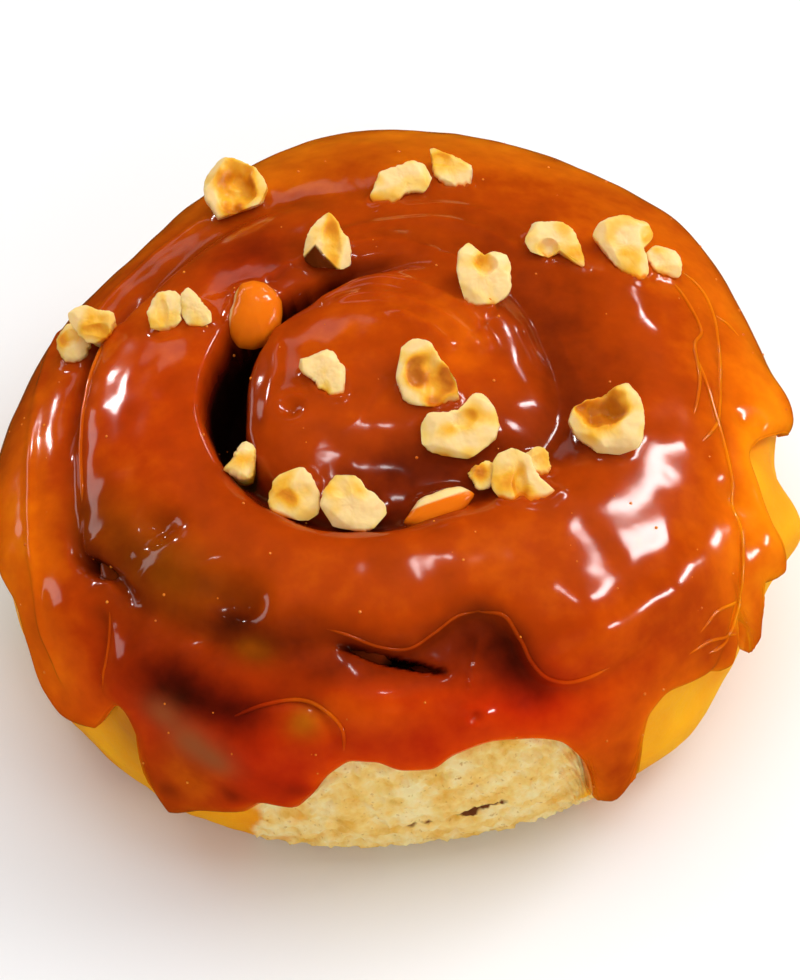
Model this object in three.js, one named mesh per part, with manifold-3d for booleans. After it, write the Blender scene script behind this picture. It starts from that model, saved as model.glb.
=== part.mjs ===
// A cinnamon roll under poured caramel with broken hazelnuts on top.
// Millimetres, +Z up. The origin is the middle of the flat foot, and -Y is the front.
//
// The form is worked out on one outer body: a squat bun with a boxy shoulder. A place on it is an
// azimuth round the roll (0 = +X, 90 = back, 270 = front) and a reach, the distance along the skin
// from the middle of the top, over the shoulder and down the side. Seams, swells, dents and the edge
// of the caramel are all given in those two numbers, and the dough and the caramel share them.

import * as THREE from "three";
import { mergeVertices } from "three/addons/utils/BufferGeometryUtils.js";
import Module from "manifold-3d";

const wasm = await Module();
wasm.setup();

// ---------------------------------------------------------------- driving sizes

const ROLL_RADIUS = 55.5; // mean half width at the widest level, over the caramel
const ROLL_HEIGHT = 47; // top of the caramel over the foot
const WIDEST_LEVEL = 15; // height of the widest level
const FOOT_RADIUS = 51.5; // half width of the body at the foot
const FOOT_ROUNDING = 5; // rounding of the lower edge
const SHOULDER_POWER = 2.8; // 2 = elliptical shoulder, more = boxier
const SPIRAL_MIDDLE = { x: -1, y: -5.8 }; // the coil sits a little towards the front

const CARAMEL = 2.0; // usual thickness of the caramel
const CARAMEL_EDGE = 0.8; // thickness left at its rounded lower edge
const EDGE_ROUNDING = 2.2; // how far in from its edge the caramel thins
const POOLING = 0.22; // share of a seam's depth that the caramel fills
const TIP_SWELL = 0.9; // how much thicker the caramel is at the tip of a run
const SEAT_GAP = 0.3; // clearance between pieces that touch

const FACET = 3.6; // length of a facet round the roll
const EDGE_FACETS = 164; // facets round the caramel's edge
const FOOT_FACETS = 88; // facets round the foot
const RINGS = [2.6, 5.6, 8.8, 12, 15, 17.8, 20.3, 22.6, 25, 27.8, 31, 34.2, 37.4, 40.4, 43.2, 45.8, 49];
const EDGE_RINGS = 4; // rings from the last of RINGS to the caramel's edge
const EDGE_CROWDING = 1.3; // over 1 brings these rings closer together towards the edge
const SIDE_RINGS = 3; // rings of bare dough from the caramel's edge to the foot
const FOOT_RINGS = [0.33, 0.66]; // rings under the roll, as a share of the foot's radius

// The outline seen from above leans: waves round the widest level as [count, height, azimuth].
const OUTLINE_WAVES = [
  [2, 2.2, 60],
  [3, 1.3, -32],
];

// The seams between the turns of the rolled strip, the slit between two lips and the creases where a
// fold of caramel overhangs. A station is [azimuth, reach, depth, inner bank, outer bank, depth of the
// open gap, half width of the gap]; azimuth may run on past 360 as a seam winds.
const SEAMS = {
  firstTurn: [
    [52, 20.6, 0, 2.4, 2.6, 0, 1.2],
    [72, 20.3, 1.2, 2.6, 2.8, 0, 1.2],
    [100, 20.2, 2.6, 2.6, 2.8, 1.5, 1.2],
    [116, 19.8, 3.2, 2.6, 2.6, 5, 1.1],
    [132, 20.4, 3.4, 2.8, 2.6, 6.5, 1.3],
    [146, 21.6, 3.4, 3, 2.4, 9, 1.8],
    [162, 22.4, 3.6, 3.2, 2.2, 14, 2.3],
    [190, 22.3, 3.8, 3.4, 2.2, 15, 2.4],
    [206, 22.6, 4, 3.6, 2.2, 9, 1.9],
    [214, 22.9, 4.2, 4, 2.2, 4, 1.8],
    [224, 23.3, 4.4, 4.4, 2.4, 1.5, 1.8],
    [240, 23.8, 4.6, 5.2, 2.2, 1, 1.8],
    [256, 23.6, 4.6, 5.8, 2.2, 1, 1.8],
    [272, 22.8, 4.6, 6.2, 2.2, 1, 1.8],
    [290, 21.8, 4.4, 6.2, 2.4, 0.5, 1.8],
    [312, 22.4, 4.2, 5.2, 3.4, 0, 1.8],
    [332, 23.9, 3.8, 4.6, 4.2, 0, 1.8],
    [350, 23.8, 3.6, 3.6, 4.8, 0, 1.8],
    [372, 22.4, 3.4, 3.2, 5, 0, 1.8],
    [396, 22.6, 3, 3.2, 4.8, 0, 1.8],
    [420, 24, 2.2, 3.4, 4.4, 0, 1.8],
    [446, 27, 1.5, 3.4, 4, 0, 1.8],
    [475, 29, 0.8, 3.4, 3.6, 0, 1.8],
    [495, 30, 0, 3.4, 3.4, 0, 1.8],
  ],
  secondTurn: [
    [48, 34, 0, 4, 4, 0, 1.2],
    [68, 31.8, 1, 4, 4, 0, 1.2],
    [90, 33, 1.6, 4, 4, 0, 1.2],
    [108, 37, 2.2, 3.4, 4, 0, 1.2],
    [125, 40.2, 2.8, 2.6, 3.6, 0, 1.2],
    [144, 41.6, 3.2, 2, 3.2, 0, 1.2],
    [160, 43.8, 3.2, 1.8, 2.8, 1, 1],
    [170, 45, 3.4, 1.4, 2.6, 2.2, 1],
    [180, 44.6, 3.2, 1.4, 2.8, 1.2, 1],
    [195, 44.6, 2.6, 1.8, 3, 0, 1],
    [206, 46.4, 2.2, 2.4, 3.2, 0, 1],
    [212, 48.6, 2.2, 2.4, 2.6, 1.4, 0.9],
    [216, 47.6, 2.4, 2.4, 2.4, 4, 1],
    [220, 46.4, 2.4, 2.8, 2.6, 1.6, 0.9],
    [228, 46.8, 2, 3.2, 4, 0, 1],
    [240, 46.4, 2, 3.2, 4.2, 0, 1],
    [252, 44, 2.2, 2.6, 4, 0, 0.6],
    [262, 42.9, 2.4, 1.2, 3.4, 0, 0.6],
    [268, 44.2, 2.6, 1.1, 3.4, 0, 0.6],
    [273, 44.6, 2.8, 1.1, 3.6, 0, 0.6],
    [277, 43, 3.2, 1.1, 4.2, 0, 0.6],
    [282, 40.9, 3.4, 1.2, 4.6, 0, 0.6],
    [286.5, 40.6, 3.4, 1.2, 4.2, 0, 0.6],
    [289.5, 43.6, 3.4, 1, 3.4, 0, 0.6],
    [290.3, 48.6, 3.2, 1, 3.2, 0, 0.6],
    [292, 52.6, 2.8, 1.1, 3.2, 0, 0.6],
    [296.5, 55, 2.2, 1.3, 3.2, 0, 0.6],
    [303, 55.4, 1.5, 1.6, 3.2, 0, 0.6],
    [311, 54, 0.8, 1.8, 3, 0, 0.6],
    [319, 51.6, 0, 2, 3, 0, 0.6],
  ],
  slit: [
    [260, 43, 0, 0.8, 1.2, 0, 0.4],
    [263, 43.5, 0.5, 0.8, 1.2, 3, 0.5],
    [268, 44.9, 0.8, 0.8, 1.4, 5, 0.65],
    [273, 46.2, 0.8, 0.8, 1.4, 5, 0.6],
    [276.5, 47.3, 0.5, 0.8, 1.4, 2.5, 0.45],
    [279, 47.9, 0, 0.8, 1.2, 0, 0.4],
  ],
  leftCrease: [
    [221, 50.6, 0, 0.7, 1.4, 0, 0.5],
    [224, 52.6, 1.4, 0.7, 1.6, 0, 0.5],
    [226, 55.6, 1.6, 0.7, 1.6, 0, 0.5],
    [226.5, 58.6, 1.2, 0.7, 1.6, 0, 0.5],
    [229, 61.4, 0, 0.7, 1.4, 0, 0.5],
  ],
  lowerFold: [
    [246, 56, 0, 1.8, 0.7, 0, 0.5],
    [250, 53.4, 0.8, 1.8, 0.7, 0, 0.5],
    [254, 52, 1.2, 2, 0.7, 0, 0.5],
    [258, 52.2, 1.5, 2.2, 0.7, 0, 0.5],
    [260.6, 54.4, 1.5, 2.2, 0.7, 0, 0.5],
    [261.6, 57.6, 1, 2, 0.7, 0, 0.5],
    [260.6, 60.6, 0, 1.8, 0.7, 0, 0.5],
  ],
  rightFold: [
    [-45, 69, 0, 0.9, 2, 0, 0.5],
    [-38, 65.1, 0.8, 0.9, 2.2, 0, 0.5],
    [-31, 59.8, 1.3, 0.9, 2.4, 0, 0.5],
    [-24, 54.4, 1.5, 0.9, 2.6, 0, 0.5],
    [-15, 49.4, 1.4, 0.9, 2.6, 0, 0.5],
    [-6, 46.6, 1.2, 0.9, 2.6, 0, 0.5],
    [4, 46.6, 1.2, 0.9, 2.6, 0, 0.5],
    [14, 48.4, 1, 0.9, 2.6, 0, 0.5],
    [26, 51, 0, 0.9, 2.6, 0, 0.5],
  ],
};
const SEAM_STEP = 0.5; // spacing of the points that a seam is measured from

// Lumps (height > 0) and hollows (height < 0) of the dough, as [azimuth, reach, height, half width
// round the roll, half width along the reach].
const LUMPS = [
  [75, 5, 0.9, 8, 7],
  [268, 14, -1.4, 9, 5],
  [203, 13.5, 0.9, 2.8, 2.8],
  [203, 13.5, -1.7, 1.4, 1.4],
  [219, 37.2, -1.9, 2.6, 2.4],
  [229, 39.5, 1.5, 5, 4.5],
  [241, 40, -2.8, 3.2, 2.6],
  [239, 46, -1.2, 3, 2.2],
  [249, 41, 1.2, 3, 4],
  [231, 55, 1.6, 3.6, 6],
  [217, 56, 1, 4, 5],
  [250, 61, 0.9, 6, 4.5],
  [268, 51.5, 1.9, 7, 3.8],
  [284, 46.6, -1.3, 3, 4],
  [281.5, 54.5, 0.9, 2, 1.8],
  [281.5, 54.5, -1.1, 0.9, 0.9],
  [303, 47.5, 2.3, 6.5, 6],
  [318, 48, 1.6, 8, 6.5],
  [347, 66, 4.2, 6.5, 6.5],
  [316, 80, 1.5, 14, 10],
  [338, 62, 1.4, 4, 7],
  [357, 51.5, -1.3, 2.4, 3.2],
  [340, 51.5, -1, 2.2, 3.6],
  [5, 60, 1.6, 6, 6],
  [40, 55, 1.4, 12, 7],
  [100, 58, 1.2, 14, 8],
  [140, 60, -1.4, 12, 9],
  [198, 60, 1.4, 14, 9],
  [276, 82, -0.6, 21, 12],
];

// The caramel's lower edge as [azimuth, reach], one place at each tip, notch and bend of its line.
const EDGE = [
  [0, 59.5], [5, 65.5], [10, 61.5], [14, 64], [17.5, 71.5], [20, 75], [23, 74.2], [25.5, 68],
  [28.5, 63.5], [33, 61.6], [38, 63], [42, 66.2], [45.5, 66], [49, 62.6], [52, 63.2], [54, 69],
  [56, 76], [58.5, 78.6], [61, 76.5], [62.8, 69.5], [65.5, 64.2], [70, 62.2], [76, 64], [80, 66.4],
  [84, 64.4], [88, 63.4], [91.5, 67], [93.5, 75], [96, 79.6], [99, 78], [101, 70], [103.5, 65],
  [109, 62.4], [114, 65], [117, 68.6], [120.5, 67.4], [123.5, 63.6], [127, 65], [129.5, 71.5],
  [132, 73.6], [134.5, 70], [136.5, 65], [139, 66.5], [141, 73], [144, 77.8], [147.5, 77.4],
  [150, 71], [152.5, 65.5], [157, 63], [162, 63.8], [165, 68.2], [168.5, 69.6], [171.5, 66],
  [175, 64.6], [178, 68], [180, 74], [182.5, 75.2], [185, 71], [188, 65.5], [196, 67], [202, 62.5],
  [208, 62], [212, 65.5], [217, 71], [221.5, 72.3], [226.5, 70], [231, 61.4], [234, 65],
  [236, 74.5], [238.5, 80], [243.5, 76], [249, 73.5], [252.5, 70], [256, 70.2], [258.5, 67],
  [261, 62.4], [264, 60.2], [267, 60.3], [271, 62], [274.5, 62.2], [278, 60.2], [283, 59.2],
  [288, 60.2], [293, 62.5], [296.6, 68.5], [298.5, 78], [301.5, 82.3], [304.4, 79], [305.8, 70],
  [307.6, 65.5], [311, 64], [315, 65.2], [319.5, 67.2], [323.5, 69.8], [326.4, 67.5], [328, 63.8],
  [329.2, 70], [331, 75], [333, 72], [334.8, 63.8], [337, 65], [339.4, 66.4], [342.2, 59],
  [346, 55.2], [351, 52.2], [354.5, 53.8],
];
const EDGE_REACH = 60; // usual reach of the edge between its runs

// Broken hazelnuts. place is azimuth, reach and level over the body; facing is how far the broken
// face turns from the skin to FRONT_UP; thick is the thickness; edge is 1 for a round edge and less
// for a squarer one; scoop is x, y, half length, half width, turn and depth of the hollow in the
// broken face; outline is the distance of each corner at equal angles from its own +X.
const FRONT_UP = new THREE.Vector3(0, -0.63, 0.78);
const BROKEN_EDGE = 0.22;
const NUTS = [
  { place: [122.3, 43.6, 0.8], facing: 0.7, thick: 5.2, scoop: [0.8, 0.4, 4.6, 2.9, 90, 2.2],
    outline: [4.75, 4.6, 4.5, 4.2, 4.7, 5.1, 4.4, 4.4, 4.1, 4.2, 4.2, 5, 4.3, 3.9, 4.2, 4.6] },
  { place: [167.5, 48.1, 0.1], facing: 0.7, thick: 4.2, edge: 0.5, scoop: [-0.3, 0.5, 1.8, 1.5, 90, 0.5],
    outline: [2.35, 2.2, 2, 2.4, 2.8, 2.7, 2.5, 2.3, 2.3, 2.4, 2.6, 2.9, 2.9, 2.9, 2.6, 2.4] },
  { place: [166, 43.6, 1.4], facing: 0.7, thick: 3.4, scoop: [0.2, -1.3, 2.2, 1.4, 0, 0.6],
    outline: [2.5, 3.4, 2.6, 2.1, 2.3, 3.2, 3.7, 4, 3.2, 2.6, 2.4, 2.5, 2.5, 2.3, 2.4, 2.5] },
  { place: [161, 33.6, 1.1], facing: 0.7, thick: 3.2, scoop: [-0.5, -0.6, 2.4, 0.9, 90, 0.5],
    outline: [2.1, 2.3, 2.9, 3.2, 3.1, 2.9, 2.7, 2.6, 2.7, 2.6, 2.9, 2.7, 3, 3.1, 2.6, 2.2] },
  { place: [157.4, 29.8, 0.9], facing: 0.7, thick: 2.8,
    outline: [1.5, 1.1, 1.1, 1.3, 2, 3.4, 3.1, 2.4, 2.2, 2.3, 2.4, 2.65, 2.35, 2.7, 2.9, 2.2] },
  { place: [146.6, 23.8, -1.5], facing: 0.7, thick: 7, edge: 0.9,
    outline: [3.9, 4.1, 4.2, 4.4, 4.5, 4.4, 3.6, 3, 3.3, 3.9, 4.5, 5.2, 5.1, 4.9, 4.3, 4] },
  { place: [110.5, 24, 0.3], facing: 0.7, thick: 4, scoop: [0.4, 0.2, 3.8, 1.3, 90, 0.6],
    outline: [3, 2.9, 2.7, 3.4, 4.7, 4, 3.4, 3.2, 3.3, 3.7, 4.2, 4.7, 4, 4.3, 4.2, 3.15] },
  { place: [87.6, 34.6, -0.3], facing: 0.7, thick: 3, scoop: [-3.2, -2.8, 1.8, 1.4, 0, 0.1],
    outline: [4.3, 3.9, 4.05, 3.6, 2.75, 2.6, 2.95, 3.7, 3.9, 5.1, 5.3, 4.5, 1.9, 1.8, 2.1, 4.4] },
  { place: [77.6, 37.5, 0.4], facing: 0.7, thick: 3, scoop: [-1.9, 1.4, 2, 1.3, 0, 0.6],
    outline: [3.9, 2.2, 1.75, 1.65, 1.8, 2.45, 4.7, 3.3, 2.9, 2.8, 2.7, 3, 3, 3.1, 3.5, 4.1] },
  { place: [51.6, 19.3, 1.3], facing: 0.7, thick: 4.2, scoop: [0.3, 1.6, 1.7, 1.5, 0, 1.3],
    outline: [3.7, 4, 4.4, 3.9, 3.05, 5.4, 4.8, 3.85, 3.8, 4.3, 4.5, 4.4, 4, 4.1, 4.1, 3.9] },
  { place: [46.4, 31.4, 0.6], facing: 0.7, thick: 3, scoop: [-1.2, -0.9, 1.6, 1.3, 0, 1.2],
    outline: [3.3, 3.1, 2.95, 3, 3.05, 3.3, 4.3, 4.7, 4.2, 3.7, 3, 2.3, 1.7, 1.5, 5.9, 4.25] },
  { place: [35.7, 38.8, 1.2], facing: 0.7, thick: 4, scoop: [3.6, 2.2, 1.7, 1.2, 20, 0.6],
    outline: [2.3, 4.2, 5.6, 4.6, 4.6, 4.8, 5, 5, 3.4, 2.8, 2.8, 3.3, 4.1, 5.7, 4.6, 3] },
  { place: [30.7, 43.2, 1], facing: 0.7, thick: 3,
    outline: [2.5, 2.4, 2.35, 2.25, 2.3, 2.7, 2.6, 2.6, 2.3, 1.9, 2, 2, 2.1, 2.5, 3.4, 2.7] },
  { place: [183.4, 8.7, 0.9], facing: 0.75, thick: 2.6, scoop: [0.4, -2, 1.3, 0.7, 90, 0.2],
    outline: [3.1, 3, 2.7, 3.3, 3.5, 3.2, 3.5, 3.75, 2.6, 1.7, 1.5, 2.2, 2.2, 3.9, 3.9, 3.5] },
  { place: [349, 5.2, 1.4], facing: 0.75, thick: 3.6, scoop: [0.7, -0.7, 3.8, 2.9, -50, 1],
    outline: [3.6, 2.8, 2.55, 3.1, 4.7, 5.1, 5, 4.5, 4.2, 4.3, 4.6, 4.85, 4.65, 4.5, 5.1, 5.5] },
  { place: [316.3, 12.7, 0], facing: 0.75, thick: 3.2, scoop: [0.7, 0.7, 1.8, 1.3, 20, 0.6],
    outline: [5.2, 5.3, 5.7, 4.6, 2.1, 2.05, 2.4, 4.4, 5, 5.9, 5, 4.7, 5, 4.9, 4.65, 5] },
  { place: [342.5, 30, 0.8], facing: 0.75, thick: 6, scoop: [-1.2, 1.9, 3.6, 2.8, 20, 2.8],
    outline: [4.45, 4.85, 5.2, 5.7, 4.1, 3.7, 4.2, 5.1, 5.4, 4.9, 4.1, 4.45, 5.15, 5.1, 5.2, 4.7] },
  { place: [216, 22.6, -1.2], facing: 0.7, thick: 3.6, edge: 0.6,
    outline: [1.55, 1.75, 2.4, 2.9, 2.6, 1.9, 1.65, 1.45, 1.6, 2.8, 2.35, 2.25, 2.45, 2.6, 1.9, 1.6] },
  { place: [235, 21.8, -2.3], facing: 0.8, thick: 3.6, scoop: [-1.1, -0.9, 1.9, 1.8, 0, 0.3],
    outline: [4, 3.5, 3.7, 4, 3.45, 3.1, 2.8, 2.65, 2.7, 3, 3.3, 3.3, 3.2, 3.9, 4.6, 4.2] },
  { place: [255.7, 20.9, -2.1], facing: 0.8, thick: 3.6, scoop: [-1.2, 2.4, 1.7, 1.5, 0, 0.3],
    outline: [4.6, 3.6, 2.9, 3.6, 4.1, 4.55, 4.05, 3.85, 3.9, 3.95, 4, 3.3, 3.25, 3.9, 4.5, 5] },
  { place: [286.8, 21.5, -3.4], facing: 0.7, thick: 4, edge: 0.7,
    outline: [3.6, 5.3, 4.2, 2.9, 2.25, 2.05, 2.35, 2.8, 3.3, 4.9, 3.9, 3, 2.4, 2.2, 2.3, 2.9] },
  { place: [314.4, 24, -1.6], facing: 0.75, thick: 4, scoop: [0.2, -0.6, 3.2, 1, 90, 0.7],
    outline: [3, 2.5, 2.6, 3.8, 4.1, 5.1, 4.6, 3.7, 3.5, 3.8, 3.5, 3.4, 4, 5, 5.6, 6.6] },
  { place: [307.4, 19.8, -1.9], facing: 0.7, thick: 2.6,
    outline: [1.6, 1.7, 2, 1.9, 1.4, 1.2, 1.4, 1.5, 1.75, 1.6, 1.6, 2.1, 2.3, 2.2, 2, 1.8] },
  { place: [323.5, 24, -2], facing: 0.7, thick: 2.6, scoop: [0.6, 0.4, 1.5, 1.2, 60, 0.3],
    outline: [1.8, 1.85, 2.15, 2.4, 2.5, 2.2, 2, 1.8, 1.6, 1.5, 1.4, 1.5, 1.6, 2.1, 2.1, 1.95] },
];
const NUT_RINGS = [0.55, 0.96]; // rings of the broken face, as shares of the outline
const NUT_BACK = 0.6; // size of the back, as a share of the outline
const NUT_SUNK = 0.8; // how far the back reaches into the caramel before it is cut to fit
const NUT_DEEPEST = 5; // the farthest a back is drawn down to reach the caramel

// ---------------------------------------------------------------- small helpers

const rad = (degrees) => (degrees * Math.PI) / 180;
const clamp = (value, low, high) => Math.min(high, Math.max(low, value));
const ease = (t) => t * t * (3 - 2 * t);
const lerp = (a, b, t) => a + (b - a) * t;

// The difference between two azimuths in degrees, from -180 to 180.
const azimuthGap = (a, b) => ((((a - b + 180) % 360) + 360) % 360) - 180;

// ---------------------------------------------------------------- the outer body

// The body's profile from the middle of the top to the foot, with its running length.
function makeProfile(steps = 240) {
  const points = [];
  const power = 2 / SHOULDER_POWER;
  for (let i = 0; i <= steps; i++) {
    const angle = (i / steps) * (Math.PI / 2);
    const r = ROLL_RADIUS * Math.sin(angle) ** power;
    const z = WIDEST_LEVEL + (ROLL_HEIGHT - WIDEST_LEVEL) * Math.max(0, Math.cos(angle)) ** power;
    points.push({ r, z });
  }
  for (let i = 1; i <= steps; i++) {
    const share = i / steps;
    const z = WIDEST_LEVEL * (1 - share);
    const sunk = clamp((FOOT_ROUNDING - z) / FOOT_ROUNDING, 0, 1);
    const tuck = 0.8 * FOOT_ROUNDING * (1 - Math.sqrt(1 - sunk * sunk));
    const r = lerp(FOOT_RADIUS, ROLL_RADIUS, Math.cos(share * (Math.PI / 2))) - tuck;
    points.push({ r, z });
  }
  let reach = 0;
  points.forEach((p, i) => {
    if (i) reach += Math.hypot(p.r - points[i - 1].r, p.z - points[i - 1].z);
    p.reach = reach;
  });
  return { points, widest: points[steps].reach, foot: reach };
}
const PROFILE = makeProfile();

// Radius, height and outward direction of the profile at a reach.
function profileAt(reach) {
  const { points } = PROFILE;
  let low = 0;
  let high = points.length - 1;
  while (high - low > 1) {
    const middle = (low + high) >> 1;
    if (points[middle].reach <= reach) low = middle;
    else high = middle;
  }
  const a = points[low];
  const b = points[high];
  const t = clamp((reach - a.reach) / (b.reach - a.reach), 0, 1);
  const length = Math.hypot(b.r - a.r, b.z - a.z);
  const below = reach >= PROFILE.widest; // under the widest level everything moves sideways
  return {
    r: lerp(a.r, b.r, t),
    z: lerp(a.z, b.z, t),
    outR: below ? 1 : (a.z - b.z) / length,
    outZ: below ? 0 : (b.r - a.r) / length,
  };
}

function outlineRadius(azimuth) {
  let radius = ROLL_RADIUS;
  for (const [count, height, phase] of OUTLINE_WAVES) {
    radius += height * Math.cos(count * rad(azimuth - phase));
  }
  return radius;
}

// A point of the body, moved out from it by a distance.
function bodyPoint(azimuth, reach, out = 0) {
  const p = profileAt(reach);
  const widen = outlineRadius(azimuth) / ROLL_RADIUS;
  const shift = ease(clamp(1 - reach / PROFILE.widest, 0, 1));
  const r = p.r * widen + p.outR * out;
  return new THREE.Vector3(
    r * Math.cos(rad(azimuth)) + SPIRAL_MIDDLE.x * shift,
    r * Math.sin(rad(azimuth)) + SPIRAL_MIDDLE.y * shift,
    p.z + p.outZ * out,
  );
}

// ---------------------------------------------------------------- relief

// A place on the skin spread out flat round the middle of the top.
const flatPoint = (azimuth, reach) => [reach * Math.cos(rad(azimuth)), reach * Math.sin(rad(azimuth))];

// Points every SEAM_STEP along a smooth line through stations, each with its other values.
function smoothLine(stations) {
  const line = [];
  const last = stations.length - 1;
  for (let i = 0; i < last; i++) {
    const before = stations[Math.max(i - 1, 0)];
    const a = stations[i];
    const b = stations[i + 1];
    const after = stations[Math.min(i + 2, last)];
    const [ax, ay] = flatPoint(a[0], a[1]);
    const [bx, by] = flatPoint(b[0], b[1]);
    const steps = Math.max(2, Math.floor(Math.hypot(ax - bx, ay - by) / SEAM_STEP));
    for (let k = 0; k < steps; k++) {
      const t = k / steps;
      const curve = (j) =>
        0.5 *
        (2 * a[j] +
          (b[j] - before[j]) * t +
          (2 * before[j] - 5 * a[j] + 4 * b[j] - after[j]) * t * t +
          (3 * a[j] - before[j] - 3 * b[j] + after[j]) * t * t * t);
      const [x, y] = flatPoint(curve(0), curve(1));
      const [depth, inner, outer, gap, half] = a.slice(2).map((v, j) => lerp(v, b[j + 2], ease(t)));
      line.push({ x, y, depth, inner, outer, gap, half });
    }
  }
  return line;
}
const SEAM_LINES = Object.values(SEAMS).map(smoothLine);

// The nearest point of a seam to a place, and how far the place is from its line, + outwards.
function nearestOn(line, x, y) {
  let index = 0;
  let nearest = Infinity;
  line.forEach((p, i) => {
    const square = (p.x - x) ** 2 + (p.y - y) ** 2;
    if (square < nearest) [nearest, index] = [square, i];
  });
  const a = line[Math.max(index - 1, 0)];
  const b = line[Math.min(index + 1, line.length - 1)];
  const length = Math.hypot(b.x - a.x, b.y - a.y);
  const dx = x - line[index].x;
  const dy = y - line[index].y;
  const across = (dx * (b.y - a.y) - dy * (b.x - a.x)) / length;
  const along = (dx * (b.x - a.x) + dy * (b.y - a.y)) / length;
  const beyond = Math.abs(along) > 2 * SEAM_STEP;
  return { seam: line[index], distance: beyond ? Math.hypot(dx, dy) : Math.abs(across), across };
}

// A rounded V: 1 in the seam and fading over its bank.
const bank = (x) => Math.exp(0.4 - Math.sqrt(x * x + 0.16));

// How far the seams sink the dough here, and how much of that is an open gap.
function seamRelief(azimuth, reach) {
  const [x, y] = flatPoint(azimuth, reach);
  let valley = 0;
  let gap = 0;
  for (const line of SEAM_LINES) {
    const { seam, distance, across } = nearestOn(line, x, y);
    valley += seam.depth * bank(distance / (across < 0 ? seam.inner : seam.outer));
    gap += seam.gap * Math.exp(-((distance / seam.half) ** 4));
  }
  return { valley, gap };
}

function lumpHeight(azimuth, reach) {
  let height = 0;
  for (const [at, along, tall, halfRound, halfAlong] of LUMPS) {
    const x = (rad(azimuthGap(azimuth, at)) * along) / halfRound;
    const y = (reach - along) / halfAlong;
    height += tall * Math.exp(-(x * x + y * y));
  }
  return height;
}

const doughOut = (azimuth, reach) => {
  const { valley, gap } = seamRelief(azimuth, reach);
  return lumpHeight(azimuth, reach) - valley - gap - CARAMEL;
};

// ---------------------------------------------------------------- the caramel's edge

// A smooth closed line through EDGE that never overshoots its places.
function edgeReach(azimuth) {
  const count = EDGE.length;
  const place = (i) => {
    const [at, reach] = EDGE[((i % count) + count) % count];
    return { at: at + 360 * Math.floor(i / count), reach };
  };
  const at = ((azimuth % 360) + 360) % 360;
  let i = count - 1;
  while (i >= 0 && place(i).at > at) i--;
  const rise = (k) => (place(k + 1).reach - place(k).reach) / (place(k + 1).at - place(k).at);
  const slope = (k) => {
    const [before, after] = [rise(k - 1), rise(k)];
    return before * after <= 0 ? 0 : (2 * before * after) / (before + after);
  };
  const a = place(i);
  const b = place(i + 1);
  const width = b.at - a.at;
  const t = (at - a.at) / width;
  const bulge = slope(i) * width * t * (1 - t) ** 2 - slope(i + 1) * width * t * t * (1 - t);
  return lerp(a.reach, b.reach, ease(t)) + bulge;
}

// The edge as a line of points in millimetres round the roll and down it, to measure from.
const EDGE_LINE = Array.from({ length: 720 }, (_, i) => ({
  azimuth: i / 2,
  reach: edgeReach(i / 2),
}));

function edgeDistance(azimuth, reach) {
  let nearest = 12;
  for (const p of EDGE_LINE) {
    const round = rad(azimuthGap(p.azimuth, azimuth)) * ROLL_RADIUS;
    if (Math.abs(round) < nearest) nearest = Math.min(nearest, Math.hypot(round, p.reach - reach));
  }
  return nearest;
}

function caramelThickness(azimuth, reach) {
  const { valley, gap } = seamRelief(azimuth, reach);
  const inward = edgeDistance(azimuth, reach);
  const rounding = Math.sqrt(1 - (1 - clamp(inward / EDGE_ROUNDING, 0, 1)) ** 2);
  const hanging = clamp((reach - EDGE_REACH - 3) / 8, 0, 1);
  const swell = TIP_SWELL * hanging * Math.exp(-(((inward - 3.2) / 2.4) ** 2));
  return lerp(CARAMEL_EDGE, CARAMEL + POOLING * valley + 0.04 * gap + swell, rounding);
}

// ---------------------------------------------------------------- rings of facets

// Where the dough, the caramel's inner face and its outer face have their corners.
function ringCorners(count, reachOf) {
  return Array.from({ length: count }, (_, i) => {
    const azimuth = (360 * i) / count;
    return { azimuth, reach: reachOf(azimuth) };
  });
}

const facetsAt = (radius) => Math.max(8, Math.round((2 * Math.PI * radius) / FACET));

// The rings near the first winding of the seam bend to lie along it.
function followSeam(reach, azimuth) {
  const seam = 22.9 - 2.5 * Math.exp(-((azimuthGap(azimuth, 105) / 40) ** 2));
  return reach + (seam - 22.6) * Math.exp(-(((reach - 22.6) / 8) ** 2));
}

const LAST_RING = RINGS[RINGS.length - 1];
const coveredRings = [
  ...RINGS.map((reach) =>
    ringCorners(facetsAt(profileAt(reach).r), (azimuth) => followSeam(reach, azimuth)),
  ),
  ...Array.from({ length: EDGE_RINGS }, (_, i) => {
    const share = 1 - (1 - (i + 1) / EDGE_RINGS) ** EDGE_CROWDING;
    return ringCorners(EDGE_FACETS, (azimuth) => lerp(LAST_RING, edgeReach(azimuth), share));
  }),
];
const bareRings = Array.from({ length: SIDE_RINGS }, (_, i) => {
  const share = (i + 1) / SIDE_RINGS;
  const count = Math.round(lerp(EDGE_FACETS, FOOT_FACETS, share));
  return ringCorners(count, (azimuth) => lerp(edgeReach(azimuth), PROFILE.foot, share));
});

// Triangles between an inner and an outer ring, walking round both by their share of a turn.
function bandTriangles(inner, outer) {
  const triangles = [];
  let i = 0;
  let j = 0;
  while (i < inner.length || j < outer.length) {
    const a = inner[i % inner.length];
    const b = outer[j % outer.length];
    const innerNext = (i + 1) / inner.length < (j + 1) / outer.length - 1e-9;
    if (inner.length > 1 && innerNext) {
      triangles.push([a, b, inner[(i + 1) % inner.length]]);
      i++;
    } else {
      triangles.push([a, b, outer[(j + 1) % outer.length]]);
      j++;
    }
    if (inner.length === 1 && j === outer.length) break;
  }
  return triangles;
}

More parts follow.
